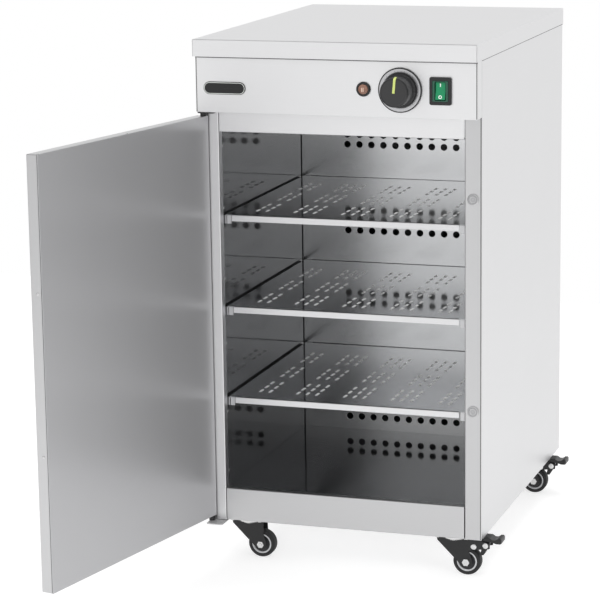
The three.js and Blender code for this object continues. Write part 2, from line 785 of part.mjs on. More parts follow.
function addSwitch() {
  const front = panelFace - gap - switchFlange;
  const flange = box(
    -switchWidth / 2, switchWidth / 2, front, panelFace - gap, -switchHeight / 2, switchHeight / 2,
  );
  const barrel = box(
    -switchBarrelWidth / 2, switchBarrelWidth / 2, front + 1, panelFace + switchDepth,
    -switchBarrelHeight / 2, switchBarrelHeight / 2,
  );
  const pocketX = rockerWidth / 2 + rockerSideGap;
  const pocketZ = rockerHeight / 2 + rockerEndGap;
  const pocket = box(-pocketX, pocketX, front - 1, front + rockerPocket, -pocketZ, pocketZ);
  const place = [switchX, 0, fittingHeight];
  addPiece(cart, 'switch_frame', cutFrom(joined(flange, barrel), pocket), blackPlastic, place);

  // The rocker turns about an axis along X just behind the frame's face. Drawn with its top pressed.
  const half = rockerHeight / 2;
  const profile = [
    [-2.6, -half], [-0.8, 0], [-2.6, half], [2.6, half], [6, half * 0.4], [6, -half * 0.4],
    [2.6, -half],
  ];
  const shape = foldedStrip(profile, -rockerWidth / 2, rockerWidth / 2);
  const axis = [switchX, front + rockerAxisDepth, fittingHeight];
  const rocker = addPiece(cart, 'rocker', shape, greenPlastic, axis);
  rocker.rotation.x = -THREE.MathUtils.degToRad(rockerTilt);
}

// ---------------------------------------------------------------------------------------------
// Air duct: heating element, thermostat bulb, and the mains entry above it
// ---------------------------------------------------------------------------------------------

function addHeating() {
  const wall = ductY + sheet + gap;
  const flangeHalf = elementLegX + elementFlangeMargin;
  const flange = box(
    -flangeHalf, flangeHalf, wall, wall + elementFlangeSheet,
    elementHeight - elementFlangeHeight / 2, elementHeight + elementFlangeHeight / 2,
  );
  const start = wall + elementFlangeSheet / 3;
  const near = wall + elementNear;
  const far = rearPanelY - elementRearInset;
  const reach = linerHalf - elementSideInset;
  const bar = bentBar([
    [-elementLegX, start, elementHeight],
    [-elementLegX, near, elementHeight],
    [-reach, near, elementHeight],
    [-reach, far, elementHeight],
    [reach, far, elementHeight],
    [reach, near, elementHeight],
    [elementLegX, near, elementHeight],
    [elementLegX, start, elementHeight],
  ], elementBar, 2 * elementBar);
  addPiece(cart, 'heating_element', joined(flange, bar), blackSteel);

  // The thermostat's bulb hangs in the duct. Its tube runs over the ceiling to the thermostat.
  const above = ceilingTop + capillaryTube;
  const outlet = panelFace + sheet + gap + thermostat.depth + gap;
  const drop = outlet + capillaryReach;
  const bulbTop = linerTop - bulbDrop;
  const tube = bentBar([
    [dialX, outlet, fittingHeight],
    [dialX, drop, fittingHeight],
    [dialX, drop, above],
    [dialX, bulbY, above],
    [dialX, bulbY, bulbTop - 2],
  ], capillaryTube, capillaryBend, 6, 4);
  const bulb = rod('z', bulbDiameter, bulbTop - bulbLength, bulbTop, [dialX, bulbY], 8);
  addPiece(cart, 'thermostat_bulb', joined(tube, bulb), copper);
}

function addMainsEntry() {
  const inside = rearPanelY - glandInside;
  const outside = rearY + glandOutside;
  const gland = joined(
    rod('y', glandBarrel, inside, outside, [0, 0], 12),
    rod('y', glandNut.outer, rearY + gap, rearY + glandNut.thickness, [0, 0], 6),
    rod('y', glandNut.inner, rearPanelY - glandNut.thickness, rearPanelY - gap, [0, 0], 6),
  );
  const bore = rod('y', glandBore, inside - 1, outside + 1, [0, 0], 12);
  addPiece(cart, 'cable_gland', cutFrom(gland, bore), blackPlastic, [glandX, 0, glandHeight]);

  const bottom = ceilingTop + gap;
  const top = bottom + terminal.height;
  const back = rearPanelY - terminal.rearInset;
  const half = terminal.length / 2;
  const block = box(-half, half, back - terminal.depth, back, bottom, top);
  const ways = [];
  for (let i = 0; i < terminalWay.count; i += 1) {
    const x = (i - (terminalWay.count - 1) / 2) * terminalWay.pitch;
    ways.push(box(
      x - terminalWay.width / 2, x + terminalWay.width / 2, back - terminalWay.depth, back + 1,
      bottom + terminalWay.floor, top + 1,
    ));
  }
  const place = [glandX - terminal.glandInset, 0, 0];
  addPiece(cart, 'terminal_block', cutFrom(block, ...ways), palePlastic, place);
}

// ---------------------------------------------------------------------------------------------
// Magnet catches, hinge and door
// ---------------------------------------------------------------------------------------------

function addCatches() {
  const x = doorwayHalf + postWidth / 2;
  const radius = catchDiameter / 2;
  const dish = catchThickness - catchBead;
  const heights = { lower: doorBottom + catchRise, upper: doorTop - catchDrop };
  for (const [name, z] of Object.entries(heights)) {
    const disc = turnedForward([
      [0, gap], [radius, gap], [radius, dish + 0.2], [radius - catchBead, catchThickness],
      [radius * 0.6, catchThickness], [radius * 0.5, dish], [0, dish], [0, gap],
    ], 20);
    addPiece(cart, `magnet_catch_${name}`, disc, brightSteel, [x, frontY, z]);
  }
}

// A plate under the base and one under the control panel, each with a pin that enters the door.
function addHingeBrackets() {
  const left = -halfBody;
  const front = frontY - hingePlateDepth;
  const pinLength = bushSleeveLength - bushFloor;

  const lowerTop = -gap;
  const lowerPlate = box(
    left, left + hingePlateLength, front, frontY + hingePlateUnder, lowerTop - hingePlate, lowerTop,
  );
  const lowerPin = rod('z', hingePin, lowerTop - 1, doorBottom + pinLength, [hingeX, hingeY]);
  addPiece(cart, 'hinge_bracket_lower', joined(lowerPlate, lowerPin), steel);

  const upperTop = panelBottom - gap;
  const upperPlate = box(
    left, left + hingePlateLength, front, frontY - gap, upperTop - hingePlate, upperTop,
  );
  const upperPin = rod('z', hingePin, doorTop - pinLength, upperTop - 1, [hingeX, hingeY]);
  addPiece(cart, 'hinge_bracket_upper', joined(upperPlate, upperPin), steel);
}

// The door is modelled shut, about its pin axis, and then turned open.
function addDoor() {
  const door = addGroup(cart, [hingeX, hingeY, 0]);
  door.rotation.z = -THREE.MathUtils.degToRad(doorOpening);
  const left = -hingeFromEdge;
  const right = left + doorWidth;
  const inner = hingeFromInner;
  const sleeve = bushSleeve + 2 * pinClearance;

  const outerBack = inner - doorSkin - gap;
  const tray = box(left, right, doorOuter, outerBack, doorBottom, doorTop);
  const hollow = box(
    left + doorSkin, right - doorSkin, doorOuter + doorSkin, outerBack + 1,
    doorBottom + doorSkin, doorTop - doorSkin,
  );
  const pinHole = rod('z', sleeve, doorBottom - 1, doorTop + 1, [0, 0]);
  addPiece(door, 'door_outer_skin', cutFrom(tray, hollow, pinHole), steel);

  const skin = box(left, right, inner - doorSkin, inner, doorBottom, doorTop);
  addPiece(door, 'door_inner_skin', cutFrom(skin, pinHole), steel);

  // Each bush fills the space to its bracket with a collar and reaches into the door.
  const bore = rod('z', hingePin + 2 * pinClearance, -1, panelBottom, [0, 0]);
  const lowerBush = joined(
    rod('z', bushFlange, 0, doorBottom - gap, [0, 0]),
    rod('z', bushSleeve, doorBottom - 1, doorBottom + bushSleeveLength, [0, 0]),
  );
  const upperBush = joined(
    rod('z', bushFlange, doorTop + gap, panelBottom - 2 * gap - hingePlate, [0, 0]),
    rod('z', bushSleeve, doorTop - bushSleeveLength, doorTop + 1, [0, 0]),
  );
  addPiece(door, 'hinge_bush_lower', cutFrom(lowerBush, bore), blackPlastic);
  addPiece(door, 'hinge_bush_upper', cutFrom(upperBush, bore), blackPlastic);

  const x = right - handleFromEdge;
  const face = doorOuter - gap;
  const barY = doorOuter - handleReach;
  const low = doorTop - handleDrop - handleSpan / 2;
  const high = low + handleSpan;
  const bow = [[x, face, low], [x, barY, low], [x, barY, high], [x, face, high]];
  addPiece(door, 'door_handle', bentBar(bow, handleBar, handleBar), brightSteel);
}

// ---------------------------------------------------------------------------------------------
// Castors
// ---------------------------------------------------------------------------------------------

const wheelHalf = wheelWidth / 2;
const cheekInner = wheelHalf + forkGap;
const cheekOuter = cheekInner + forkSheet;
const raceBottom = -gap - castorPlateThickness - raceHeight;
const forkTop = raceBottom - gap;

// The square plate with the ball race below it and the king pin that holds the fork.
function castorPlatePiece() {
  const top = -gap;
  const half = castorPlate / 2;
  const plate = box(-half, half, -half, half, top - castorPlateThickness, top);
  const start = top - castorPlateThickness / 2;
  const neck = kingPin / 2;
  const collar = neck + kingPinHead;
  const underFork = forkTop - forkSheet - gap;
  const pinEnd = forkTop - forkSheet - kingPinHead;
  const race = turned([
    [0, start], [raceDiameter / 2, start], [raceDiameter / 2, raceBottom], [neck, raceBottom],
    [neck, underFork], [collar, underFork], [collar, pinEnd], [0, pinEnd], [0, start],
  ], 20);
  return joined(plate, race);
}

// One cheek of the fork: wide at the top, sloping down to a round end at the axle.
function cheekOutline() {
  const heel = castorTrail + forkHeel;
  const points = [[heel, forkTop], [-forkNose, forkTop], [-forkNose, forkTop - forkShoulder]];
  for (let i = 0; i <= 6; i += 1) {
    const angle = -Math.PI * 0.8 + (i / 6) * Math.PI * 0.95;
    points.push([castorTrail + axleEnd * Math.cos(angle), axleZ + axleEnd * Math.sin(angle)]);
  }
  points.push([heel, axleZ + axleEnd + forkHeel]);
  return points;
}

// The arm that carries the brake pedal, beside the cheek.
function brakeArmOutline() {
  const { x, drop } = brakePivot;
  return [
    [castorTrail, forkTop - 1],
    [castorTrail, -drop - 14],
    [castorTrail + 16, -drop - 9],
    [x + 7, -drop - 6],
    [x + 7, -drop + 3],
    [x - 6, -drop + 7],
    [x - 14, forkTop - 1],
  ];
}

function forkPiece(braked) {
  const sunk = forkSheet / 4;
  const axle = [castorTrail, axleZ];
  const pivot = [brakePivot.x, -brakePivot.drop];
  const rivet = [castorTrail + brakeRivet.x, -brakePivot.drop - brakeRivet.drop];
  const parts = [
    box(-forkNose, castorTrail + forkHeel, -cheekOuter, cheekOuter, forkTop - forkSheet, forkTop),
    rod('y', axleDiameter, -cheekOuter - axleReach, cheekOuter + axleReach, axle),
  ];
  if (braked) parts.push(rod('y', brakePin, -cheekOuter - sunk, cheekOuter + sunk, pivot, 10));
  for (const side of [-1, 1]) {
    const span = (near, far) => [side * near, side * far].sort((a, b) => a - b);
    parts.push(upright(cheekOutline(), ...span(cheekInner, cheekOuter)));
    parts.push(rod('y', axleNut, ...span(cheekOuter - sunk, cheekOuter + axleNutHeight), axle, 6));
    if (braked) {
      const head = span(cheekOuter - sunk, cheekOuter + rivetHead.height);
      parts.push(upright(brakeArmOutline(), ...span(cheekInner, cheekOuter)));
      parts.push(rod('y', rivetHead.diameter, ...head, rivet, 10));
      parts.push(rod('y', rivetHead.diameter, ...head, pivot, 10));
    }
  }
  const pinHole = rod('z', kingPin + 2 * runningClearance, forkTop - forkSheet - 1, forkTop + 1);
  return cutFrom(joined(...parts), pinHole);
}

// Tyre and hub are turned about Z and then laid along Y, with a flat of the tyre on the floor.
function tyrePiece() {
  const outer = wheelDiameter / 2;
  const inner = hubDiameter / 2 + gap;
  const segments = 28;
  const shoulder = outer - tyreShoulder.height;
  const tread = wheelHalf - tyreShoulder.width;
  const ringShape = turned([
    [inner, -wheelHalf], [shoulder, -wheelHalf], [outer, -tread], [outer, tread],
    [shoulder, wheelHalf], [inner, wheelHalf], [inner, -wheelHalf],
  ], segments);
  return ringShape.rotateZ(Math.PI / segments).rotateX(Math.PI / 2);
}

function hubPiece() {
  const bore = axleDiameter / 2 + runningClearance;
  const rim = hubDiameter / 2;
  const dish = rim - hubDish.rim;
  const side = wheelHalf - hubInset;
  return turned([
    [bore, -side], [dish, -side + hubDish.depth], [dish, -side], [rim, -side], [rim, side],
    [dish, side], [dish, side - hubDish.depth], [bore, side], [bore, -side],
  ], 20).rotateX(Math.PI / 2);
}

// The pedal turns on the pivot rivet. Its nose is the shoe that bears on the tyre when pressed.
function pedalPiece() {
  const shoeHalf = wheelHalf - shoeInset;
  const arm = upright([
    [-6, 3], [-7, -5], [-9.5, -16.2], [-4, -17], [3, -5], [6, 4], [6, 10], [-2, 12],
  ], -shoeHalf, shoeHalf);
  const tread = upright([
    [-4.5, 8], [8, 6.5], [16, 4.2], [24, 4.2], [26, 6], [26, 13], [24, 15.5], [20, 15],
    [15, 11.2], [11, 11.2], [7.5, 15], [-2, 15.5], [-4.5, 13],
  ], -pedalWidth / 2, pedalWidth / 2);
  const hole = rod('y', brakePin + 2 * runningClearance, -pedalWidth, pedalWidth, [0, 0], 10);
  return cutFrom(joined(arm, tread), hole);
}

function addCastor(name, x, y, braked) {
  const castor = addGroup(cart, [x, y, 0]);
  addPiece(castor, `castor_plate_${name}`, castorPlatePiece(), blackSteel);
  addPiece(castor, `castor_fork_${name}`, forkPiece(braked), blackSteel);
  addPiece(castor, `tyre_${name}`, tyrePiece(), blackRubber, [castorTrail, 0, axleZ]);
  addPiece(castor, `hub_${name}`, hubPiece(), greyPlastic, [castorTrail, 0, axleZ]);
  if (braked) {
    const place = [brakePivot.x, 0, -brakePivot.drop];
    addPiece(castor, `brake_pedal_${name}`, pedalPiece(), blackPlastic, place);
  }
}

function addCastors() {
  const x = halfBody - castorInsetX;
  const y = rearY - castorInsetY;
  addCastor('front_left', -x, -y, false);
  addCastor('front_right', x, -y, true);
  addCastor('rear_left', -x, y, false);
  addCastor('rear_right', x, y, true);
}

// ---------------------------------------------------------------------------------------------
// Assembly
// ---------------------------------------------------------------------------------------------

addWorktop();
addSidePanel(-1, 'side_panel_left');
addSidePanel(1, 'side_panel_right');
addRearPanel();
addBasePan();
addChamber();
addShelves();
addControlPanel();
addBadge();
addLamp();
addThermostat();
addSwitch();
addHeating();
addMainsEntry();
addCatches();
addHingeBrackets();
addDoor();
addCastors();

export default cart;
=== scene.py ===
"""The looks of a plate-warming cart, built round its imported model.

+Z is up and the front faces -Y. Shapes are drawn in millimetres, and make_piece turns them into
metres. Places come from the model's own boxes and joints, and each sub-part has its own function.
"""

import json
import math

import bmesh
import bpy
from mathutils import Matrix, Vector
from mathutils.geometry import tessellate_polygon


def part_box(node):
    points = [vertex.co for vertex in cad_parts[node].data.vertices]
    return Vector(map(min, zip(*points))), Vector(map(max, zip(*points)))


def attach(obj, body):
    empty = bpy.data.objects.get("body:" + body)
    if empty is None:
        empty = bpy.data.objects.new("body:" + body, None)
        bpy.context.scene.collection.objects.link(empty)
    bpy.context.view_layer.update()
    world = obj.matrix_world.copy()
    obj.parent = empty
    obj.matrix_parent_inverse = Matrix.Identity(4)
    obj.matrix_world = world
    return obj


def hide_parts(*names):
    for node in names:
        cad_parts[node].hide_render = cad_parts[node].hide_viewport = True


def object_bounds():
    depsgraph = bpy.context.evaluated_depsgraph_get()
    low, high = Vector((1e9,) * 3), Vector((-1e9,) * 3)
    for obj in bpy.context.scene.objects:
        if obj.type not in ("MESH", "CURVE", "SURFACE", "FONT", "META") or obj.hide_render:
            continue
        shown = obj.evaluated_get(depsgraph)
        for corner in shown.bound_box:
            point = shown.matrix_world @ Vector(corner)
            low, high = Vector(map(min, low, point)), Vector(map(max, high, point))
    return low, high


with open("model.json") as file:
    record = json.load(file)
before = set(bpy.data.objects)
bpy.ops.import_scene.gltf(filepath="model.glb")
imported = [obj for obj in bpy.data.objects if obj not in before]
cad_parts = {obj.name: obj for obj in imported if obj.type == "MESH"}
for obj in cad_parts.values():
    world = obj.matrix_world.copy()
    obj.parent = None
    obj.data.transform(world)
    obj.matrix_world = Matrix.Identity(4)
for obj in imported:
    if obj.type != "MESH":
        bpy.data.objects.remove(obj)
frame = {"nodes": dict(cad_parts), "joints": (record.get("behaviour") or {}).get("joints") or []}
cad_low, cad_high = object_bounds()
joints = {joint["name"]: joint for joint in frame["joints"]}
scene = bpy.context.scene
MM = 0.001                  # in metres

# ---- Sizes that belong to the looks alone ----------------

SHEET = 1.2                 # every folded sheet
BEND = 1.3                  # radius of a fold, at the middle of the sheet
SHEET_EDGE = 0.25           # rounding of a cut edge
SHARP_ABOVE = 38            # degrees between two faces that show as an edge
BEHIND_STRIP = 14.3         # from the front of sill and header to the sheets behind them
SLOT_WIDTH = 3.6            # of the short slots in the shelves
SLOT_LENGTH = 16


class Span:
    """A node's box, with a name for each face."""

    def __init__(self, node):
        low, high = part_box(node)
        self.left, self.front, self.bottom = [value / MM for value in low]
        self.right, self.back, self.top = [value / MM for value in high]
        self.x = (self.left + self.right) / 2
        self.z = (self.bottom + self.top) / 2


def pivot(joint):
    """Where a joint is at rest."""
    return [value / MM for value in joints[joint]["pos_m"]]


lid = Span("worktop")
panel = Span("control_panel")
right_side = Span("side_panel_right")
rear = Span("rear_panel")
ceiling = Span("ceiling_panel")
base = Span("base_pan")
duct = Span("duct_panel")

# ---- Materials -------------------------------------------


def linear(*display):
    """A colour as the screen shows it, 0 to 255, as the shader wants it."""
    channels = [value / 255 for value in display]
    made = [c / 12.92 if c <= 0.04045 else ((c + 0.055) / 1.055) ** 2.4 for c in channels]
    return (*made, 1.0)


def add_node(tree, kind, inputs=None, **settings):
    made = tree.nodes.new(kind)
    for key, value in settings.items():
        setattr(made, key, value)
    for key, value in (inputs or {}).items():
        if isinstance(value, bpy.types.NodeSocket):
            tree.links.new(value, made.inputs[key])
        else:
            made.inputs[key].default_value = value
    return made


def new_material(name, colour, roughness, metallic=0.0, **more):
    material = bpy.data.materials.new(name)
    material.use_nodes = True
    tree = material.node_tree
    surface = tree.nodes["Principled BSDF"]
    surface.inputs["Base Color"].default_value = colour
    surface.inputs["Roughness"].default_value = roughness
    surface.inputs["Metallic"].default_value = metallic
    for key, value in more.items():
        surface.inputs[key.replace("_", " ").title()].default_value = value
    return material, tree, surface


def calculate(tree, operation, first, second=0.0):
    return add_node(tree, "ShaderNodeMath", {0: first, 1: second}, operation=operation).outputs[0]


def noise(tree, point, scale, detail, roughness=0.5):
    inputs = {"Vector": point, "Scale": scale, "Detail": detail, "Roughness": roughness}
    return add_node(tree, "ShaderNodeTexNoise", inputs).outputs["Fac"]


def map_range(tree, value, low, high, since=0.0, until=1.0, kind="LINEAR"):
    """Maps since and until to low and high."""
    inputs = {"Value": value, "From Min": since, "From Max": until, "To Min": low, "To Max": high}
    made = add_node(tree, "ShaderNodeMapRange", inputs, interpolation_type=kind)
    return made.outputs["Result"]


def vary(tree, surface, source, colour, roughness, tint, spread):
    """Lets a texture's 0 to 1 shift the colour by a share tint and the roughness by spread."""
    dark = (*[c * (1 - tint) for c in colour[:3]], 1.0)
    light = (*[min(c * (1 + tint), 1.0) for c in colour[:3]], 1.0)
    mixed = add_node(tree, "ShaderNodeMix", {0: source, 6: dark, 7: light}, data_type="RGBA")
    tree.links.new(mixed.outputs[2], surface.inputs["Base Color"])
    ranged = map_range(tree, source, roughness - spread, roughness + spread)
    tree.links.new(ranged, surface.inputs["Roughness"])


def add_bump(tree, surface, height, strength, distance):
    inputs = {"Height": height, "Strength": strength, "Distance": distance * MM}
    bump = add_node(tree, "ShaderNodeBump", inputs)
    tree.links.new(bump.outputs["Normal"], surface.inputs["Normal"])


def brushed(name, shade, roughness, along, tint=0.05, spread=0.05, bump=0.08, metallic=1.0, **more):
    """Steel with fine brushing along one axis, and soft handling marks in its gloss."""
    colour = linear(*shade)
    material, tree, surface = new_material(name, colour, roughness, metallic, **more)
    point = add_node(tree, "ShaderNodeTexCoord").outputs["Object"]
    across, lengthwise = 1500.0, 14.0       # hairs per metre
    scale = [across, across, across]
    scale["xyz".index(along)] = lengthwise
    stretched = add_node(tree, "ShaderNodeMapping", {"Vector": point, "Scale": scale})
    hair = noise(tree, stretched.outputs["Vector"], 1.0, 3.0, 0.65)
    both = calculate(tree, "ADD", hair, noise(tree, point, 5.0, 3.0))
    half = calculate(tree, "MULTIPLY", both, 0.5)
    vary(tree, surface, half, colour, roughness, tint, spread)
    if bump:
        add_bump(tree, surface, hair, bump, 0.02)
    return material


def grained(name, shade, roughness, size, tint=0.12, spread=0.06, bump=0.25, depth=0.05, **more):
    """Moulded plastic, baked paint or rubber: a fine even grain of the given size."""
    colour = linear(*shade)
    material, tree, surface = new_material(name, colour, roughness, **more)
    point = add_node(tree, "ShaderNodeTexCoord").outputs["Object"]
    vary(tree, surface, noise(tree, point, 30.0, 4.0), colour, roughness, tint, spread)
    add_bump(tree, surface, noise(tree, point, 1 / (size * MM), 2.0), bump, depth)
    return material


steel_x = brushed("steel_brushed_across", (208, 208, 209), 0.42, "x")
steel_y = brushed("steel_brushed_deep", (234, 234, 235), 0.40, "y")
# The posts are the fronts of the side sheets in shades of their own: darker as painted shade on the
# right post, lighter as painted light on the left one.
post_steel = brushed("steel_post_painted_shade", (206, 206, 207), 0.40, "z")
left_post_painted_light = brushed("steel_left_post_painted_light", (232, 232, 233), 0.40, "z")
steel_z = brushed("steel_brushed_upright", (212, 212, 213), 0.40, "z")
fascia_steel = brushed("steel_fascia", (237, 237, 238), 0.42, "x")
liner_x = brushed("liner_brushed_across", (240, 241, 242), 0.22, "x", spread=0.04, bump=0)
# A dark copy of the liner steel: painted shade for the chamber's side walls and floor.
liner_painted_shade = brushed("liner_painted_shade_deep", (77, 78, 80), 0.07, "y", spread=0.03, bump=0, metallic=0.65)
shelf_steel = brushed("shelf_rolled", (188, 189, 191), 0.07, "y", spread=0.02, bump=0)
# Near-white steel for the slot rims: painted highlight.
slot_rim_highlight = brushed("slot_rim", (252, 252, 252), 0.30, "x", bump=0, metallic=0.8)
lip_steel = brushed("shelf_lip", (224, 224, 225), 0.30, "x", bump=0)
# Dark steel for the runners and corner strips: painted shade beside the shelves and in the chamber's
# corners.
rail_shade_steel = brushed("rail_painted_shade", (62, 62, 64), 0.45, "y", bump=0)
door_steel = brushed(
    "door_lining", (199, 199, 201), 0.36, "x", spread=0.03, bump=0.04, metallic=0.6, anisotropic=0.75,
)
bright = brushed("bright_plated", (226, 226, 226), 0.20, "z", tint=0.03, spread=0.05, bump=0.03)
dull_steel = brushed("dull_plated", (190, 190, 192), 0.45, "z", bump=0)
hinge_steel = brushed("hinge_plate", (204, 204, 205), 0.45, "x", bump=0, metallic=0.4)
dial_metal = brushed("dial_satin", (198, 198, 200), 0.34, "z", spread=0.05)
seal = grained("dark_seal", (96, 96, 97), 0.6, 0.5, bump=0.1)
# Grey strips of painted shade, under the lid's skirt and along the front edges.
shade_line_grey = grained("shade_line_grey", (112, 112, 113), 0.6, 0.5, bump=0.1)
black_paint = grained("black_baked_paint", (30, 30, 31), 0.42, 0.9)
black_plastic = grained("black_plastic", (28, 28, 29), 0.36, 0.35, bump=0.12)
soft_black = grained("knob_plastic", (36, 36, 37), 0.40, 0.3, bump=0.15, coat_weight=0.2)
rubber = grained("tyre_rubber", (34, 34, 35), 0.62, 0.8)
nylon = grained("hub_nylon", (214, 215, 217), 0.42, 0.8, bump=0.1)
dark_nylon = grained("hub_web_nylon", (58, 58, 60), 0.5, 0.8, bump=0.1)
pale = grained("pale_plastic", (226, 221, 208), 0.5, 0.6, bump=0.1)
copper = brushed("copper_tube", (184, 112, 74), 0.3, "y", tint=0.15)
dark_element = grained("element_sheath", (58, 56, 54), 0.45, 0.5, metallic=0.8)
badge_black = grained("badge_enamel", (20, 20, 21), 0.35, 0.5, bump=0.04)
green = grained("rocker_green", (0, 134, 86), 0.35, 0.6, bump=0.04, coat_weight=0.2)
dark_green = grained("boot_green", (18, 74, 56), 0.16, 0.6, bump=0.04, coat_weight=0.4)
white_mark = grained("white_mark", (236, 240, 236), 0.5, 0.4, bump=0.05)
lime = grained("pointer_lime", (198, 210, 122), 0.4, 0.4, bump=0.05)
amber = grained("lamp_amber", (138, 98, 80), 0.2, 0.7, bump=0.1, coat_weight=0.5)
# Pale bars on the lamp lens: the neon element, and painted highlight.
neon = grained("lamp_neon_highlight", (238, 208, 190), 0.3, 0.5, bump=0.05)

# ---- Shapes ----------------------------------------------

# An outline in (a, b), with its height along h, is laid on these axes.
LYING = Matrix.Identity(4)                                                        # a=x b=y h=z
FACING = Matrix(((1, 0, 0, 0), (0, 0, 1, 0), (0, 1, 0, 0), (0, 0, 0, 1)))         # a=x b=z h=y
SIDEWAYS = Matrix(((0, 0, 1, 0), (1, 0, 0, 0), (0, 1, 0, 0), (0, 0, 0, 1)))       # a=y b=z h=x


def at(x, y, z, turn=LYING):
    """The place of a shape whose origin goes to a point."""
    return Matrix.Translation((x, y, z)) @ turn


def arc(x, y, radius, start, end, steps):
    """Points along an arc, in degrees."""
    angles = [math.radians(start + (end - start) * i / steps) for i in range(steps + 1)]
    return [(x + radius * math.cos(t), y + radius * math.sin(t)) for t in angles]


def circle(x, y, radius, sides=32):
    return arc(x, y, radius, 0, 360, sides)[:-1]


def rectangle(x0, y0, x1, y1, radius=0.0, steps=4):
    """A rectangle with round corners."""
    if radius == 0.0:
        return [(x0, y0), (x1, y0), (x1, y1), (x0, y1)]
    corners = ((x1, y0, -90), (x1, y1, 0), (x0, y1, 90), (x0, y0, 180))
    points = []
    for x, y, start in corners:
        inner_x = x - radius if x == x1 else x + radius
        inner_y = y - radius if y == y1 else y + radius
        points += arc(inner_x, inner_y, radius, start, start + 90, steps)
    return points


def centred(half_a, half_b, radius, steps=4):
    return rectangle(-half_a, -half_b, half_a, half_b, radius, steps)


def slot_outline(x, y, width, length, steps=5):
    """A slot with round ends that runs along the second axis."""
    radius = width / 2
    reach = length / 2 - radius
    return arc(x, y + reach, radius, 0, 180, steps) + arc(x, y - reach, radius, 180, 360, steps)


def signed_area(points):
    pairs = zip(points, points[1:] + points[:1])
    return sum(a[0] * b[1] - b[0] * a[1] for a, b in pairs) / 2


def mitres(points):
    """For each corner, the step that moves the outline one unit into the material."""
    made = []
    count = len(points)
    for i, point in enumerate(points):
        before = (Vector(point) - Vector(points[i - 1])).normalized()
        after = (Vector(points[(i + 1) % count]) - Vector(point)).normalized()
        first = Vector((-before.y, before.x))
        second = Vector((-after.y, after.x))
        made.append((first + second) / max(1 + first.dot(second), 0.3))
    return made


def add_rings(bm, rings, place, caps=True, closed=False):
    """A skin over rings with the same number of points."""
    loops = [[bm.verts.new(place @ Vector(point)) for point in ring] for ring in rings]
    pairs = list(zip(loops, loops[1:]))
    if closed:
        pairs.append((loops[-1], loops[0]))
    for low, high in pairs:
        for i in range(len(low)):
            k = (i + 1) % len(low)
            bm.faces.new((low[i], low[k], high[k], high[i]))
    if caps:
        bm.faces.new(loops[0])
        bm.faces.new(loops[-1])
    return loops


def add_extrusion(bm, outlines, low, high, place=LYING, edge=SHEET_EDGE, steps=2):
    """An outline, with any holes after it, from low to high. Its edges are rounded."""
    turns = [math.pi / 2 * i / steps for i in range(steps + 1)]
    levels = [(edge * (1 - math.sin(t)), low + edge * (1 - math.cos(t))) for t in turns]
    levels += [(inset, low + high - level) for inset, level in reversed(levels)]
    ends = ([], [])
    for number, outline in enumerate(outlines):
        points = [tuple(point) for point in outline]
        if (signed_area(points) > 0) != (number == 0):
            points.reverse()
        steps_in = mitres(points)
        rings = [
            [(p[0] + m.x * inset, p[1] + m.y * inset, level) for p, m in zip(points, steps_in)]
            for inset, level in levels
        ]
        loops = add_rings(bm, rings, place, caps=False)
        ends[0].append(loops[0])
        ends[1].append(loops[-1])
    back = place.inverted()
    for rims in ends:
        if len(rims) == 1:
            bm.faces.new(rims[0])
            continue
        flat = [[(back @ vert.co).xy.to_3d() for vert in rim] for rim in rims]
        verts = [vert for rim in rims for vert in rim]
        for corners in tessellate_polygon(flat):
            bm.faces.new([verts[i] for i in corners])


def add_turned(bm, profile, place=LYING, segments=32):
    """A profile of (radius, height) turned round the height axis."""
    closed = profile[0] == profile[-1]
    points = profile[:-1] if closed else profile
    rings = [[(x, y, height) for x, y in circle(0, 0, radius, segments)] for radius, height in points]
    loops = add_rings(bm, rings, place, caps=False, closed=closed)
    on_axis = [vert for (radius, _), loop in zip(points, loops) if radius == 0 for vert in loop]
    if on_axis:
        bmesh.ops.remove_doubles(bm, verts=on_axis, dist=1e-4)


def add_disc(bm, radius, low, high, place, segments):
    """A plain round bar or disc."""
    add_turned(bm, [(0, low), (radius, low), (radius, high), (0, high)], place, segments)


def both_ways(profile):
    """A closed profile, whose lower half mirrors the given upper one."""
    return [*profile, *[(radius, -height) for radius, height in reversed(profile)], profile[0]]


def add_box(bm, low, high, edge=SHEET_EDGE, place=LYING):
    (x0, y0, z0), (x1, y1, z1) = low, high
    add_extrusion(bm, [rectangle(x0, y0, x1, y1)], z0, z1, place, edge)


def add_box_pair(bm, near, far, low, high, edge=SHEET_EDGE):
    """A box from near to far of the middle plane, once at the left and once at the right."""
    for side in (-1, 1):
        x0, x1 = sorted((side * near, side * far))
        add_box(bm, (x0, *low), (x1, *high), edge)


def folded(path, thickness=SHEET, bend=BEND, steps=4):
    """The outline of a folded sheet whose middle line is the path."""
    corners = [Vector(point) for point in path]
    line = [(corners[0], (corners[1] - corners[0]).normalized())]
    for a, b, c in zip(corners, corners[1:], corners[2:]):
        before = (b - a).normalized()
        turn = -before.angle_signed((c - b).normalized())
        hand = 1 if turn > 0 else -1
        start = b - before * bend * math.tan(abs(turn) / 2)
        centre = start + Vector((-before.y, before.x)) * bend * hand
        for i in range(steps + 1):
            heading = Matrix.Rotation(turn * i / steps, 2) @ before
            line.append((centre - Vector((-heading.y, heading.x)) * bend * hand, heading))
    line.append((corners[-1], (corners[-1] - corners[-2]).normalized()))
    half = thickness / 2
    left = [(p.x - d.y * half, p.y + d.x * half) for p, d in line]
    right = [(p.x + d.y * half, p.y - d.x * half) for p, d in line]
    return left + right[::-1]


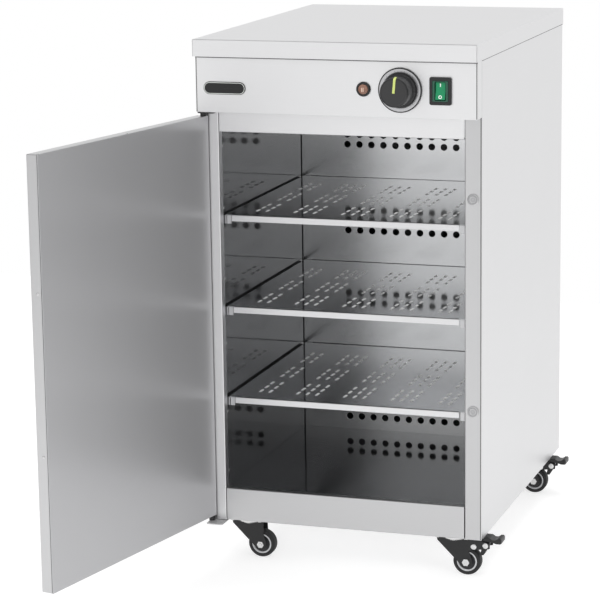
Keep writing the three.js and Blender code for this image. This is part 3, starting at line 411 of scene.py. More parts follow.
def add_cover(bm, low, high, radius, place=LYING, sheet=SHEET, steps=4):
    """A shallow tray, open at its low end, with rounded corners and a rounded far edge."""
    (x0, y0, z0), (x1, y1, z1) = low, high

    def level(inset, z):
        corner = max(radius - inset, 0.15)
        outline = rectangle(x0 + inset, y0 + inset, x1 - inset, y1 - inset, corner)
        return [(x, y, z) for x, y in outline]

    turns = [math.pi / 2 * i / steps for i in range(steps + 1)]
    rings = [level(sheet, z1 - sheet), level(sheet, z0), level(0, z0)]
    rings += [level(radius * (1 - math.cos(t)), z1 - radius * (1 - math.sin(t))) for t in turns]
    add_rings(bm, rings, place)


def add_bar(bm, path, radius, place=LYING, sides=16):
    """A round bar along a path of points."""
    points = [Vector(point) for point in path]
    rings = []
    side = None
    for i, point in enumerate(points):
        ahead = (points[min(i + 1, len(points) - 1)] - points[max(i - 1, 0)]).normalized()
        if side is None:
            side = ahead.orthogonal()
        side = (side - ahead * side.dot(ahead)).normalized()
        other = ahead.cross(side)
        rings.append([point + side * x + other * y for x, y in circle(0, 0, radius, sides)])
    add_rings(bm, rings, place)


def add_screw(bm, place, radius=2.6, height=1.3):
    """A pan head with a round recess, that stands on the place's height axis."""
    add_turned(bm, [
        (0, 0), (radius, 0), (radius, height * 0.35), (radius * 0.85, height * 0.8),
        (radius * 0.5, height), (radius * 0.42, height), (radius * 0.36, height * 0.45),
        (0, height * 0.4),
    ], place, 16)


def towards(normal):
    """Turns a shape's height axis to a direction."""
    return Vector(normal).to_track_quat("Z", "Y").to_matrix().to_4x4()


def make_piece(name, bm, material, body, slot, *nodes, smooth=SHARP_ABOVE):
    """A visible piece, and the model's nodes that it stands for."""
    bm.transform(Matrix.Scale(MM, 4))
    bmesh.ops.recalc_face_normals(bm, faces=bm.faces)
    mesh = bpy.data.meshes.new(name)
    bm.to_mesh(mesh)
    bm.free()
    mesh.materials.append(material)
    mesh.shade_smooth()
    mesh.set_sharp_from_angle(angle=math.radians(smooth))
    piece = bpy.data.objects.new(name, mesh)
    scene.collection.objects.link(piece)
    level = piece.modifiers.new("level_faces", "WEIGHTED_NORMAL")
    level.keep_sharp = True
    level.weight = 90
    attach(piece, body)
    if nodes:
        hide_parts(*nodes)
    return piece


def paint_facing_tone(piece, material, outward):
    """Gives the faces that look one way a copy of the material in another shade: painted light or
    shade on that side of the sheet.
    """
    piece.data.materials.append(material)
    for face in piece.data.polygons:
        if face.normal.dot(Vector(outward)) > 0.7:
            face.material_index = 1


def dress(node, material):
    """Gives a CAD node a material, and rounds its edges with modifiers."""
    piece = frame["nodes"][node]
    piece.data.materials.clear()
    piece.data.materials.append(material)
    weld = piece.modifiers.new("weld", "WELD")
    weld.merge_threshold = 0.001 * MM
    bevel = piece.modifiers.new("edges", "BEVEL")
    bevel.width = SHEET_EDGE * MM
    bevel.segments = 2
    bevel.limit_method = "ANGLE"
    bevel.angle_limit = math.radians(35)


# ---- Cabinet shell ---------------------------------------


def make_worktop():
    bm = bmesh.new()
    low = (lid.left, lid.front, lid.bottom)
    add_cover(bm, low, (lid.right, lid.back, lid.top), 1.8)
    make_piece("lid", bm, fascia_steel, "cabinet", "steel", "worktop")

    # A grey line of painted shade shows under the skirt, on the fascia and on the side panels.
    line, proud, front_line = 1.3, 0.9, 2.6
    bm = bmesh.new()
    add_box_pair(bm, right_side.right, right_side.right + proud,
                 (right_side.front, lid.bottom - line), (right_side.back, lid.bottom + line))
    add_box(bm, (panel.left, panel.front - 0.3, lid.bottom - front_line),
            (panel.right, panel.front + 0.5, lid.bottom + line))
    make_piece("lid_shade_line", bm, shade_line_grey, "cabinet", "black_plastic")


def make_side(hand, side, post_painted_tone):
    """Web, front post and its inward leg are one folded sheet. The rear flange is welded in."""
    span = Span(f"side_panel_{hand}")
    half = SHEET / 2
    outer = span.right - half if side > 0 else span.left + half
    inner = span.left + half if side > 0 else span.right - half
    leg_end = base.front + 14
    bm = bmesh.new()
    outline = folded([
        (inner, leg_end), (inner, span.front + half), (outer, span.front + half),
        (outer, span.back),
    ])
    add_extrusion(bm, [outline], span.bottom, span.top)
    flange_x = outer - side * 17.4
    x0, x1 = sorted((flange_x, outer - side * half))
    flange_back = rear.front - 0.3
    add_box(bm, (x0, flange_back - SHEET, span.bottom), (x1, flange_back, span.top))
    sheet = make_piece(f"side_{hand}", bm, steel_y, "cabinet", "steel", f"side_panel_{hand}")
    # The post's front faces get the painted shade or painted light passed in.
    paint_facing_tone(sheet, post_painted_tone, (0, -1, 0))


def make_front_shade_lines():
    """Grey lines of painted shade down the outer edges of the posts and the fascia, where their folds
    look dark.
    """
    inset, width, proud, sunk = 0.5, 1.5, 0.15, 0.4
    bm = bmesh.new()
    for span in (right_side, panel):
        outer = span.right - inset
        add_box_pair(bm, outer, outer - width, (span.front - proud, span.bottom + 1),
                     (span.front + sunk, min(span.top, lid.bottom)), 0.05)
    make_piece("front_shade_lines", bm, shade_line_grey, "cabinet", "black_plastic")


def make_rear_panel():
    gland = Span("cable_gland")
    vent_count, vent_pitch, vent_width, vent_height = 7, 16, 6, 36
    outline = rectangle(rear.left, rear.bottom, rear.right, rear.top, 1)
    holes = [circle(gland.x, gland.z, 8.3, 24)]
    for i in range(vent_count):
        x = (i - (vent_count - 1) / 2) * vent_pitch
        holes.append(slot_outline(x, gland.z, vent_width, vent_height))
    bm = bmesh.new()
    add_extrusion(bm, [outline, *holes], rear.front, rear.back, FACING)
    make_piece("back_sheet", bm, steel_z, "cabinet", "steel", "rear_panel")

    bm = bmesh.new()
    inset, lowest, highest, per_side = 9, rear.bottom + 30, rear.top - 60, 4
    for x in (rear.left + inset, rear.right - inset):
        for i in range(per_side):
            z = lowest + i * (highest - lowest) / (per_side - 1)
            add_screw(bm, at(x, rear.back, z, towards((0, 1, 0))))
    make_piece("back_screws", bm, bright, "cabinet", "bright_metal")


def add_channel(bm, span, upper_leg, lower_leg):
    """A folded strip across the front, between the posts, with a leg to the rear at each edge."""
    half = SHEET / 2
    reach = right_side.left - 1
    front, low, high = span.front + half, span.bottom + half, span.top - half
    outline = folded([
        (span.front + upper_leg, high), (front, high), (front, low), (span.front + lower_leg, low),
    ])
    add_extrusion(bm, [outline], -reach, reach, SIDEWAYS)


def make_base():
    """The pan and, at its front, the sill."""
    bm = bmesh.new()
    add_channel(bm, base, 10, 15)
    make_piece("sill", bm, steel_x, "cabinet", "steel", "base_pan")

    depth = 20
    bm = bmesh.new()
    low = (base.left, base.front + BEHIND_STRIP, -(base.bottom + depth))
    high = (base.right, base.back, -base.bottom)
    upside_down = Matrix.Diagonal((1, 1, -1, 1))
    add_cover(bm, low, high, 1.5, upside_down)
    make_piece("pan", bm, steel_y, "cabinet", "steel")


def make_ceiling():
    """The ceiling sheet and, at its front, the header strip."""
    bm = bmesh.new()
    add_channel(bm, ceiling, 15, 12)
    make_piece("header_strip", bm, fascia_steel, "cabinet", "liner_steel", "ceiling_panel")

    bm = bmesh.new()
    add_box(bm, (ceiling.left, ceiling.front + BEHIND_STRIP, ceiling.top - SHEET),
            (ceiling.right, ceiling.back, ceiling.top))
    make_piece("ceiling_sheet", bm, liner_x, "cabinet", "liner_steel")


def make_duct_wall():
    """The chamber's rear wall, with three double rows of round air holes."""
    hole, pitch, row_pitch, per_row = 11.5, 21.3, 17, 12
    lower_rows = (72, 402, 551)
    rows = [z for lower in lower_rows for z in (lower, lower + row_pitch)]
    columns = [(i - (per_row - 1) / 2) * pitch for i in range(per_row)]
    holes = [circle(x, z, hole / 2, 24) for z in rows for x in columns]
    bm = bmesh.new()
    outline = rectangle(duct.left, duct.bottom, duct.right, duct.top)
    add_extrusion(bm, [outline, *holes], duct.front, duct.front + SHEET, FACING, 0.2)
    add_box_pair(bm, duct.right - SHEET, duct.right, (duct.front + 1.5, duct.bottom),
                 (duct.back, duct.top))
    make_piece("air_wall", bm, liner_x, "cabinet", "liner_steel", "duct_panel", smooth=20)

    # Dark strips of painted shade fill the corners between the rear wall and the side walls.
    corner_width, corner_depth = 0.9, 0.6
    bm = bmesh.new()
    add_box_pair(bm, duct.right - corner_width, duct.right,
                 (duct.front - corner_depth, Span("floor_panel").top), (duct.front, ceiling.bottom))
    make_piece("corner_shade_strips", bm, rail_shade_steel, "cabinet", "liner_steel")


def make_liner_screws():
    """Small screws down the front of each side wall."""
    liner = Span("liner_left")
    bm = bmesh.new()
    for z in (603, 504, 391, 286, 174, 76):
        for side in (-1, 1):
            wall = side * abs(liner.right)
            add_screw(bm, at(wall, liner.front + 21, z, towards((-side, 0, 0))), 2.4, 1.5)
    make_piece("liner_screws", bm, bright, "cabinet", "bright_metal")


# ---- Shelves and runners ---------------------------------


def slot_places(span):
    """Clusters of three columns, each of three short slots. None reaches the lip's ends."""
    cluster_x, cluster_y, column, row = 78.5, 106, 16, 27
    first_row = span.front + 50
    columns = [i * cluster_x + k * column for i in range(-2, 3) for k in (-1, 0, 1)]
    rows = [first_row + j * cluster_y + m * row for j in range(3) for m in range(3)]
    widest = span.right - 28
    return [(x, y) for x in columns if abs(x) <= widest for y in rows]


def make_shelf(number):
    node = f"shelf_{number}"
    span = Span(node)
    back = span.back + 2.3      # close to the rear wall
    sheet, bend, notch = 1, 1.2, 11.5
    half = sheet / 2
    front_bend, back_bend = span.front + bend + half, back - bend - half
    outline = rectangle(span.left, front_bend, span.right, back_bend, 1.5)
    slots = [slot_outline(x, y, SLOT_WIDTH, SLOT_LENGTH) for x, y in slot_places(span)]
    bm = bmesh.new()
    add_extrusion(bm, [outline, *slots], span.top - sheet, span.top, LYING, 0.2)
    make_piece(f"slotted_{node}", bm, shelf_steel, node, "shelf_steel", node, smooth=20)

    # A raised rim and a collar below it, which narrows downwards, line each slot. Both are painted
    # near white, partly lit by the front lamp and partly a painted highlight, so each slot shows as a
    # bright dash.
    rim, taper = 0.6, 0.5
    low, high = span.top - 2.2, span.top + 0.3
    bm = bmesh.new()
    for x, y in slot_places(span):
        rings = []
        for wider, z in ((-taper, low), (rim, low), (rim, high), (0, high)):
            ring = slot_outline(x, y, SLOT_WIDTH + 2 * wider, SLOT_LENGTH + 2 * wider)
            rings.append([(*point, z) for point in ring])
        add_rings(bm, rings, LYING, caps=False, closed=True)
    make_piece(f"slot_rims_{node}", bm, slot_rim_highlight, node, "shelf_steel")

    bm = bmesh.new()
    for edge, inward in ((span.front, 1), (back, -1)):
        lip = folded([
            (edge + inward * half, span.bottom), (edge + inward * half, span.top - half),
            (edge + inward * (bend + 2), span.top - half),
        ], sheet, bend)
        add_extrusion(bm, [lip], span.left + notch, span.right - notch, SIDEWAYS, 0.2)
    make_piece(f"lips_{node}", bm, lip_steel, node, "shelf_steel")


def make_runner(number, side):
    """An angle under the shelf's edge, with a folded stop at its front end."""
    hand = "left" if side < 0 else "right"
    node = f"runner_{hand}_{number}"
    span = Span(node)
    half = SHEET / 2
    wall = span.left + half if side < 0 else span.right - half
    tip = span.right if side < 0 else span.left
    outline = folded([(wall, span.bottom), (wall, span.top - half), (tip, span.top - half)])
    bm = bmesh.new()
    add_extrusion(bm, [outline], span.front, span.back, FACING)
    # The rail is painted dark as shade under the shelf's edge, so the gap beside the shelf looks
    # black.
    make_piece(f"rail_{hand}_{number}", bm, rail_shade_steel, "cabinet", "liner_steel", node)

    # The stop is a folded tab, slit down its middle.
    proud = 1
    bm = bmesh.new()
    for near, far in ((0.4, 5.2), (6.8, 13.6)):
        x0, x1 = sorted((wall - side * near, wall - side * far))
        add_box(bm, (x0, span.front - proud, span.bottom - proud), (x1, span.front + 0.2, span.top))
    make_piece(f"rail_stop_{hand}_{number}", bm, dial_metal, "cabinet", "liner_steel")


# ---- Control panel ---------------------------------------


def inset_front(span, inset, radius, steps=4):
    """The outline of a box seen from the front, drawn in by inset."""
    return rectangle(span.left + inset, span.bottom + inset, span.right - inset, span.top - inset,
                     radius, steps)


def make_control_panel():
    """A front sheet and, behind it, the four walls of the box."""
    lamp, dial, switch = Span("lamp_bezel"), Span("dial_bezel"), Span("switch_frame")
    outline, outer, inner = [inset_front(panel, inset, 1) for inset in (0, 0.02, SHEET)]
    half_width, half_height = 15.3, 19.3
    holes = [
        circle(lamp.x, lamp.z, 6.3, 20),
        circle(dial.x, dial.z, 5, 20),
        rectangle(switch.x - half_width, switch.z - half_height,
                  switch.x + half_width, switch.z + half_height, 1),
    ]
    bm = bmesh.new()
    add_extrusion(bm, [outline, *holes], panel.front, panel.front + SHEET, FACING, 0.5)
    add_extrusion(bm, [outer, inner], panel.front + 0.8, panel.back, FACING, 0.1)
    make_piece("control_fascia", bm, fascia_steel, "cabinet", "steel", "control_panel")


def make_badge():
    span = Span("badge_plate")
    bm = bmesh.new()
    add_extrusion(bm, [pill(span, 0)], span.front + 0.2, span.back, FACING, 0.5)
    make_piece("badge", bm, badge_black, "cabinet", "black_plastic", "badge_plate")

    bm = bmesh.new()
    line = [pill(span, 1.1), pill(span, 1.8)]
    add_extrusion(bm, line, span.front, span.front + 0.4, FACING, 0.05)
    make_piece("badge_line", bm, white_mark, "cabinet", "black_plastic")


def pill(span, inset):
    """The outline of a plate with half-round ends, seen from the front."""
    return inset_front(span, inset, (span.top - span.bottom) / 2 - inset - 0.01, 10)


def forward(x, z):
    """A place on the control panel: heights run out to the front."""
    return at(x, panel.front, z, towards((0, -1, 0)))


def make_lamp():
    span = Span("lamp_bezel")
    lens = Span("lamp_lens")
    place = forward(span.x, span.z)
    outer = (span.right - span.left) / 2
    seat = (lens.right - lens.left) / 2
    bm = bmesh.new()
    add_turned(bm, [
        (seat, 0.4), (outer - 0.6, 0.4), (outer, 0.9), (outer, 2.0), (outer - 0.8, 3.0),
        (seat + 1.2, 3.4), (seat + 0.4, 3.2), (seat, 2.4), (seat, 0.4),
    ], place, 40)
    add_disc(bm, 6, -22, 1, place, 24)
    make_piece("lamp_ring", bm, black_plastic, "cabinet", "black_plastic", "lamp_bezel")

    radius = seat - 0.2
    bm = bmesh.new()
    profile = [(0, 1.4), (radius, 1.4), (radius, 3.4)]
    ridges = 4
    for i in range(ridges):
        outward = radius * (1 - (i + 0.5) / (ridges + 1))
        rise = 3.6 + 1.7 * (1 - (outward / radius) ** 2)
        profile += [(outward + 0.45, rise - 0.35), (outward, rise)]
    profile.append((0, 5.3))
    add_turned(bm, profile, place, 40)
    make_piece("lamp_cap", bm, amber, "cabinet", "lens", "lamp_lens")

    # Two pale bars at the lens's face. They are the neon element's electrodes, painted pale enough to
    # serve as painted highlights on the lens.
    bm = bmesh.new()
    for x in (-1.7, 0.7):
        add_extrusion(bm, [slot_outline(x, -0.4, 1.2, 6.6)], 4.4, 5.4, place, 0.1)
    make_piece("lamp_highlight_bars", bm, neon, "cabinet", "lens")


def make_dial():
    span = Span("dial_bezel")
    place = forward(span.x, span.z)
    outer = (span.right - span.left) / 2
    inner, face = outer - 8, outer - 1.8
    top = panel.front - span.front
    seat = top - 1.1
    bm = bmesh.new()
    add_turned(bm, [
        (inner, seat), (face, seat), (face, top - 0.3), (face - 0.6, top), (inner + 2, top),
        (inner + 0.6, top - 0.4), (inner, top - 0.9), (inner, seat),
    ], place, 72)
    make_piece("dial_face", bm, dial_metal, "cabinet", "dial_metal", "dial_bezel")

    # A black body under the satin face. Its black outer wall around the face is painted shade for the
    # ring's shadowed edge.
    bm = bmesh.new()
    add_turned(bm, [
        (inner - 3, 0.4), (outer - 0.3, 0.4), (outer, 0.7), (outer, top - 0.9),
        (outer - 0.5, top - 0.4), (face + 0.1, top - 0.3), (face + 0.1, seat), (inner - 3, seat),
        (inner - 3, 0.4),
    ], place, 72)
    make_piece("dial_shade_body", bm, black_plastic, "cabinet", "dial_metal")

    bm = bmesh.new()
    ticks, sweep, half_width, start = 28, 270, 0.22, inner + 1.2
    for i in range(ticks):
        angle = math.radians(90 + sweep / 2 - sweep * i / (ticks - 1))
        end = start + (2.6 if i % 3 == 0 else 1.6)
        spin = place @ Matrix.Rotation(angle, 4, "Z")
        add_box(bm, (start, -half_width, top - 0.5), (end, half_width, top + 0.03), 0.05, spin)
    make_piece("dial_ticks", bm, black_plastic, "cabinet", "dial_metal")


def make_knob():
    x, _, z = pivot("knob_turn")
    span = Span("knob")
    place = forward(x, z)
    foot = (span.right - span.left) / 2
    front = panel.front - span.front - 0.8
    nose = 21
    bm = bmesh.new()
    add_turned(bm, [
        (0, 1.2), (foot - 0.4, 1.2), (foot, 1.6), (foot, 4.6), (foot - 0.5, 5.4), (foot - 1.3, 5.7),
        (foot - 1.5, 6.6), (foot - 2.0, 7.6), (foot - 2.4, 9.6), (nose + 1.4, front - 4.5),
        (nose + 0.9, front - 2.4), (nose - 0.2, front - 0.9), (nose - 1.6, front - 0.15),
        (nose - 2.6, front), (nose - 3.2, front - 0.35), (0, front - 0.5),
    ], place, 72)
    make_piece("knob_grip", bm, soft_black, "knob", "black_plastic", "knob")

    half_width = 1.9
    upright = place @ Matrix.Rotation(math.radians(-5), 4, "Z") @ SIDEWAYS
    path = [
        (-0.5, front - 1.5), (-0.5, front + 0.25), (nose - 0.9, front + 0.2),
        (nose + 0.9, front - 1.6), (nose + 2.0, front - 7.5),
    ]
    bm = bmesh.new()
    add_extrusion(bm, [folded(path, 0.7, 0.5)], -half_width, half_width, upright, 0.15)
    make_piece("knob_pointer", bm, lime, "knob", "black_plastic")


def make_switch():
    span = Span("switch_frame")
    place = forward(span.x, span.z)
    top = panel.front - span.front
    outline = centred((span.right - span.left) / 2, (span.top - span.bottom) / 2, 3, 6)
    opening, barrel = centred(11.6, 15, 1.2), centred(15, 19, 1)
    bm = bmesh.new()
    add_extrusion(bm, [outline, opening], 0.4, top, place, 1.0, 3)
    add_extrusion(bm, [barrel], -24, -6, place)
    add_extrusion(bm, [barrel, opening], -6.2, 0.6, place)
    make_piece("switch_bezel", bm, black_plastic, "cabinet", "black_plastic", "switch_frame")

    bm = bmesh.new()
    boot, window = centred(12.4, 15.8, 2), centred(8.2, 13.6, 1)
    add_extrusion(bm, [boot, window], top - 2, top + 1.4, place, 1.2, 3)
    make_piece("switch_boot", bm, dark_green, "cabinet", "black_plastic")


def make_rocker():
    """The rocker, drawn with its top pressed, and the marks on its two halves."""
    tilt = math.radians(-joints["switch_rock"]["range_deg"][1] / 2)
    place = at(*pivot("switch_rock"), Matrix.Rotation(tilt, 4, "X"))
    half_width, half = 7.6, 13
    profile = [
        (-2.6, -half), (-2.1, -half * 0.6), (-1.0, 0), (-2.1, half * 0.6), (-2.6, half),
        (2.6, half), (6, half * 0.4), (6, -half * 0.4), (2.6, -half),
    ]
    bm = bmesh.new()
    add_extrusion(bm, [profile], -half_width, half_width, place @ SIDEWAYS, 0.5)
    make_piece("rocker_cap", bm, green, "rocker", "rocker_green", "rocker")

    slope = math.atan2(1.1, half * 0.6)
    bar = [slot_outline(0, 0, 1.7, 5.6)]
    ring = [circle(0, 0, 2.8, 24), circle(0, 0, 1.5, 24)]
    bm = bmesh.new()
    for side, mark in ((1, bar), (-1, ring)):
        turn = Matrix.Rotation(side * slope, 4, "X") @ FACING
        add_extrusion(bm, mark, -0.35, 0.3, place @ at(0, -2.3, side * 9, turn), 0.1)
    make_piece("rocker_marks", bm, white_mark, "rocker", "rocker_green")


# ---- Catches, hinge and door -----------------------------


def make_catches():
    for name in ("magnet_catch_lower", "magnet_catch_upper"):
        span = Span(name)
        radius = (span.right - span.left) / 2
        height = span.back - span.front
        place = at(span.x, span.back, span.z, towards((0, -1, 0)))
        bm = bmesh.new()
        add_turned(bm, [
            (0, 0), (radius - 0.2, 0), (radius, 0.2), (radius, height - 0.9),
            (radius - 0.9, height - 0.1), (radius * 0.82, height), (radius * 0.76, height - 0.8),
            (radius * 0.66, height - 0.8), (radius * 0.6, height), (radius * 0.46, height - 0.1),
            (radius * 0.38, height - 1.4), (radius * 0.2, height - 1.4),
            (radius * 0.12, height - 0.9), (0, height - 0.8),
        ], place, 40)
        make_piece(f"{name}_disc", bm, steel_z, "cabinet", "bright_metal", name)

        bm = bmesh.new()
        low, high = height - 1.2, height + 0.02
        for inner, outer in ((0.68 * radius, 0.78 * radius), (0.14 * radius, 0.42 * radius)):
            ring = [(inner, low), (outer, low), (outer, high), (inner, high), (inner, low)]
            add_turned(bm, ring, place, 32)
        make_piece(f"{name}_rings", bm, dull_steel, "cabinet", "bright_metal")


def make_hinges():
    x, y, _ = pivot("door_hinge")
    plate = 2.0
    for node, pin_up in (("hinge_bracket_lower", True), ("hinge_bracket_upper", False)):
        span = Span(node)
        low = span.bottom if pin_up else span.top - plate
        outline = rectangle(span.left, span.front, span.right, span.back, 4, 6)
        bm = bmesh.new()
        add_extrusion(bm, [outline], low, low + plate, LYING, 0.4)
        pin_from, pin_to = (low + 1, span.top) if pin_up else (span.bottom, span.top - 1)
        add_disc(bm, 3, pin_from, pin_to, at(x, y, 0), 24)
        # The upper plate, in the shade under the control panel, is painted black as painted shade. The
        # lower one shows its steel.
        finish = hinge_steel if pin_up else black_paint
        make_piece(f"{node}_plate", bm, finish, "cabinet", "steel", node)


def door_place():
    """Door shapes are made shut, about the pin, and turned open with this."""
    x, y, _ = pivot("door_hinge")
    opened = math.radians(joints["door_hinge"]["range_deg"][0])
    return at(x, y, 0, Matrix.Rotation(opened, 4, "Z"))


def make_door():
    place = door_place()
    span = Span("door_outer_skin")
    left, right = -6, 442                   # both from the pin, with the door shut
    outer, seam, inner = -15, 3.1, 5        # from front to back
    gap = 0.9
    bm = bmesh.new()
    # The tray opens towards +Y, so its heights run to the front.
    heights = place @ Matrix(((1, 0, 0, 0), (0, 0, -1, 0), (0, 1, 0, 0), (0, 0, 0, 1)))
    add_cover(bm, (left, span.bottom, -seam), (right, span.top, -outer), 1.5, heights)
    make_piece("door_shell", bm, steel_z, "door", "steel", "door_outer_skin")

    bm = bmesh.new()
    outline = rectangle(left, span.bottom, right, span.top, 1)
    add_extrusion(bm, [outline], seam + gap, inner, place @ FACING)
    make_piece("door_lining", bm, door_steel, "door", "steel", "door_inner_skin")

    recess = 0.8
    bm = bmesh.new()
    core = rectangle(left + recess, span.bottom + recess, right - recess, span.top - recess)
    add_extrusion(bm, [core], seam - 1.5, seam + gap + 0.3, place @ FACING)
    make_piece("door_core", bm, seal, "door", "steel")

    bm = bmesh.new()
    for z in (453, 213):
        add_screw(bm, place @ at(right, -3, z, towards((1, 0, 0))), 2.2, 1.0)
    for x in (213, 436):
        add_screw(bm, place @ at(x, 1.2, span.top, towards((0, 0, 1))), 1.6, 0.9)
    make_piece("door_screws", bm, bright, "door", "bright_metal")


def make_handle():
    place = door_place()
    x, z, half_span = 402, 430, 80
    face, reach, bend = -15, -36, 12
    foot, corner = face - 0.2, half_span - bend
    path = [(foot, -half_span), *arc(reach + bend, -corner, bend, 270, 180, 6),
            *arc(reach + bend, corner, bend, 180, 90, 6), (foot, half_span)]
    bm = bmesh.new()
    add_bar(bm, [(x, y, z + rise) for y, rise in path], 5, place)
    make_piece("handle_bow", bm, bright, "door", "shelf_steel", "door_handle", smooth=60)


# ---- Castors ---------------------------------------------

CORNERS = ("front_left", "front_right", "rear_left", "rear_right")
RIVETS = ((32, -21.5), (51, -18.5))     # on the brake arm: x from the king pin, and z


def make_castor_plate(corner):
    x, y, _ = pivot(f"swivel_{corner}")
    node = f"castor_plate_{corner}"
    span = Span(node)
    half, underside, bolt = (span.right - span.left) / 2, span.top - 2.5, 23
    place = at(x, y, 0)
    bm = bmesh.new()
    add_extrusion(bm, [centred(half, half, 5, 6)], underside, span.top, place, 0.4)
    make_piece(f"castor_{corner}_plate", bm, black_paint, "cabinet", "black_steel", node)

    bm = bmesh.new()
    add_turned(bm, [
        (0, span.top - 1), (20, span.top - 1), (20, span.top - 3.2), (19.2, span.top - 4.4),
        (17.6, span.top - 4.9), (16.6, span.top - 5.6), (5, span.top - 5.9), (5, span.bottom + 3),
        (8, span.bottom + 2.6), (7, span.bottom + 0.6), (4, span.bottom), (0, span.bottom),
    ], place, 40)
    make_piece(f"castor_{corner}_race", bm, bright, "cabinet", "black_steel")

    bm = bmesh.new()
    for bolt_x in (x - bolt, x + bolt):
        for bolt_y in (y - bolt, y + bolt):
            spot = at(bolt_x, bolt_y, underside, towards((0, 0, -1)))
            add_disc(bm, 5.5, 0, 0.9, spot, 24)
            add_extrusion(bm, [circle(0, 0, 4.6, 6)], 0.8, 3.2, spot, 0.3)
    make_piece(f"castor_{corner}_bolts", bm, bright, "cabinet", "bright_metal")


def make_fork(corner, braked):
    x, y, _ = pivot(f"swivel_{corner}")
    axle_x, _, axle_z = pivot(f"wheel_{corner}")
    axle = axle_x - x
    node, body = f"castor_fork_{corner}", f"fork_{corner}"
    top = Span(node).top
    inner, outer = 10.1, 12.1           # faces of each cheek, from the middle
    place = at(x, y, 0)
    bm = bmesh.new()
    crown = rectangle(-28, -outer, 24, outer, 5, 5)
    hole = circle(0, 0, 5.4, 24)
    add_extrusion(bm, [crown, hole], top - 2, top, place, 0.5)
    foot = arc(axle, axle_z, 10, 215, 385, 10)
    cheek = [
        (24, top - 0.6), (-26, top - 0.6), (-28, top - 3), (-27, top - 8), *foot, (25, axle_z + 16),
    ]
    arm = [
        (18, top - 1.4), (18, -31), (30, -27), (44, -25.2), (57, -23.5), (58, -22.5), (58, -15),
        (45, -11.5), (37, top - 1.4),
    ]
    for side in (-1, 1):
        y0, y1 = sorted((side * inner, side * outer))
        add_extrusion(bm, [cheek], y0, y1, place @ FACING, 0.4)
        if braked:
            add_extrusion(bm, [arm], y0 + 0.05, y1 - 0.05, place @ FACING, 0.4)
    make_piece(f"castor_{corner}_fork", bm, black_paint, body, "black_steel", node)

    bm = bmesh.new()
    add_turned(bm, [
        (9, top - 0.4), (18.8, top - 0.4), (19.4, top - 1.0), (19.4, top - 3.4), (17.6, top - 5.4),
        (9, top - 5.8), (9, top - 0.4),
    ], place, 40)
    make_piece(f"castor_{corner}_cup", bm, bright, body, "black_steel")

    # The axle bolt has its head on one side, and its nut and tip on the other.
    head_side = -1 if braked else 1
    bm = bmesh.new()
    for side in (-1, 1):
        outward = towards((0, side, 0))
        spot = place @ at(axle, side * outer, axle_z, outward)
        if side == head_side:
            add_extrusion(bm, [circle(0, 0, 6.3, 6)], -0.2, 3.8, spot, 0.6)
        else:
            add_extrusion(bm, [circle(0, 0, 6.0, 6)], -0.2, 3.2, spot, 0.5)
            add_turned(bm, [(0, 2.8), (2.9, 2.8), (2.6, 4.3), (0, 4.5)], spot, 20)
        if braked:
            for rivet_x, rivet_z in RIVETS:
                add_dome(bm, place @ at(rivet_x, side * outer, rivet_z, outward), 4.7, 1.6)
    add_disc(bm, 3, -outer, outer, place @ at(axle, 0, axle_z, towards((0, 1, 0))), 20)
    make_piece(f"castor_{corner}_axle", bm, bright, body, "bright_metal")


def add_dome(bm, place, radius, height):
    """A rivet head."""
    turns = [math.radians(angle) for angle in range(10, 90, 20)]
    curve = [(radius * math.cos(t), height * math.sin(t)) for t in turns]
    add_turned(bm, [(0, -0.2), (radius, -0.2), *curve, (0, height)], place, 24)


def make_wheel(corner):
    place = at(*pivot(f"wheel_{corner}"), towards((0, 1, 0)))
    body = f"wheel_{corner}"
    outer, half, seat = 22.35, 8.5, 16.6
    turns = [math.radians(angle) for angle in range(0, 91, 18)]
    shoulder = [(outer - 3 * (1 - math.sin(t)), half - 3.2 * (1 - math.cos(t))) for t in turns]
    bm = bmesh.new()
    tread = both_ways([(seat, half - 0.4), (seat + 1.4, half), *shoulder])
    add_turned(bm, tread, place, 64)
    make_piece(f"castor_{corner}_tyre", bm, rubber, body, "tyre", f"tyre_{corner}", smooth=50)

    rim, step, face = 16.5, 13.9, half - 0.8
    bm = bmesh.new()
    add_turned(bm, both_ways([
        (rim, face - 0.6), (rim - 0.5, face), (step + 0.4, face), (step, face - 0.4),
    ]), place, 48)
    make_piece(f"castor_{corner}_hub", bm, nylon, body, "hub", f"hub_{corner}")

    dish, boss = half - 3.8, half - 0.6
    bm = bmesh.new()
    add_turned(bm, both_ways([
        (step + 0.1, dish + 0.6), (9, dish), (8.2, boss - 0.6), (7.6, boss), (3.4, boss),
    ]), place, 48)
    make_piece(f"castor_{corner}_web", bm, dark_nylon, body, "hub")


def make_pedal(corner):
    place = at(*pivot(f"brake_{corner}"))
    shoe_half, tread_half, rib_half = 7.8, 12.6, 11
    shoe = [
        (-6, 3), (-7, -5), (-9.5, -16.2), (-7.5, -17.2), (-4, -17), (3, -5), (6, 4), (6, 10), (-2, 12),
    ]
    tread = [
        (-4.5, 7.6), (3, 7.2), (9, 6.2), (13, 5.6), (17, 4.2), (23.5, 4.2), (25.4, 5), (26, 6.4),
        (26, 11.4), (24.4, 13.4), (20.5, 13), (15.5, 10.2), (11, 10.2), (7.5, 12.8), (-1.5, 13.2),
        (-4.2, 11.4),
    ]
    bm = bmesh.new()
    add_extrusion(bm, [shoe], -shoe_half, shoe_half, place @ FACING, 0.5)
    add_extrusion(bm, [tread], -tread_half, tread_half, place @ FACING, 0.9, 3)
    for first, count in ((-2.2, 4), (20.4, 2)):
        for i in range(count):
            rib = first + i * 2.4
            add_box(bm, (rib, -rib_half, 12), (rib + 1.2, rib_half, 13.9), 0.3, place)
    make_piece(f"castor_{corner}_pedal", bm, black_plastic, f"pedal_{corner}", "black_plastic",
               f"brake_pedal_{corner}")


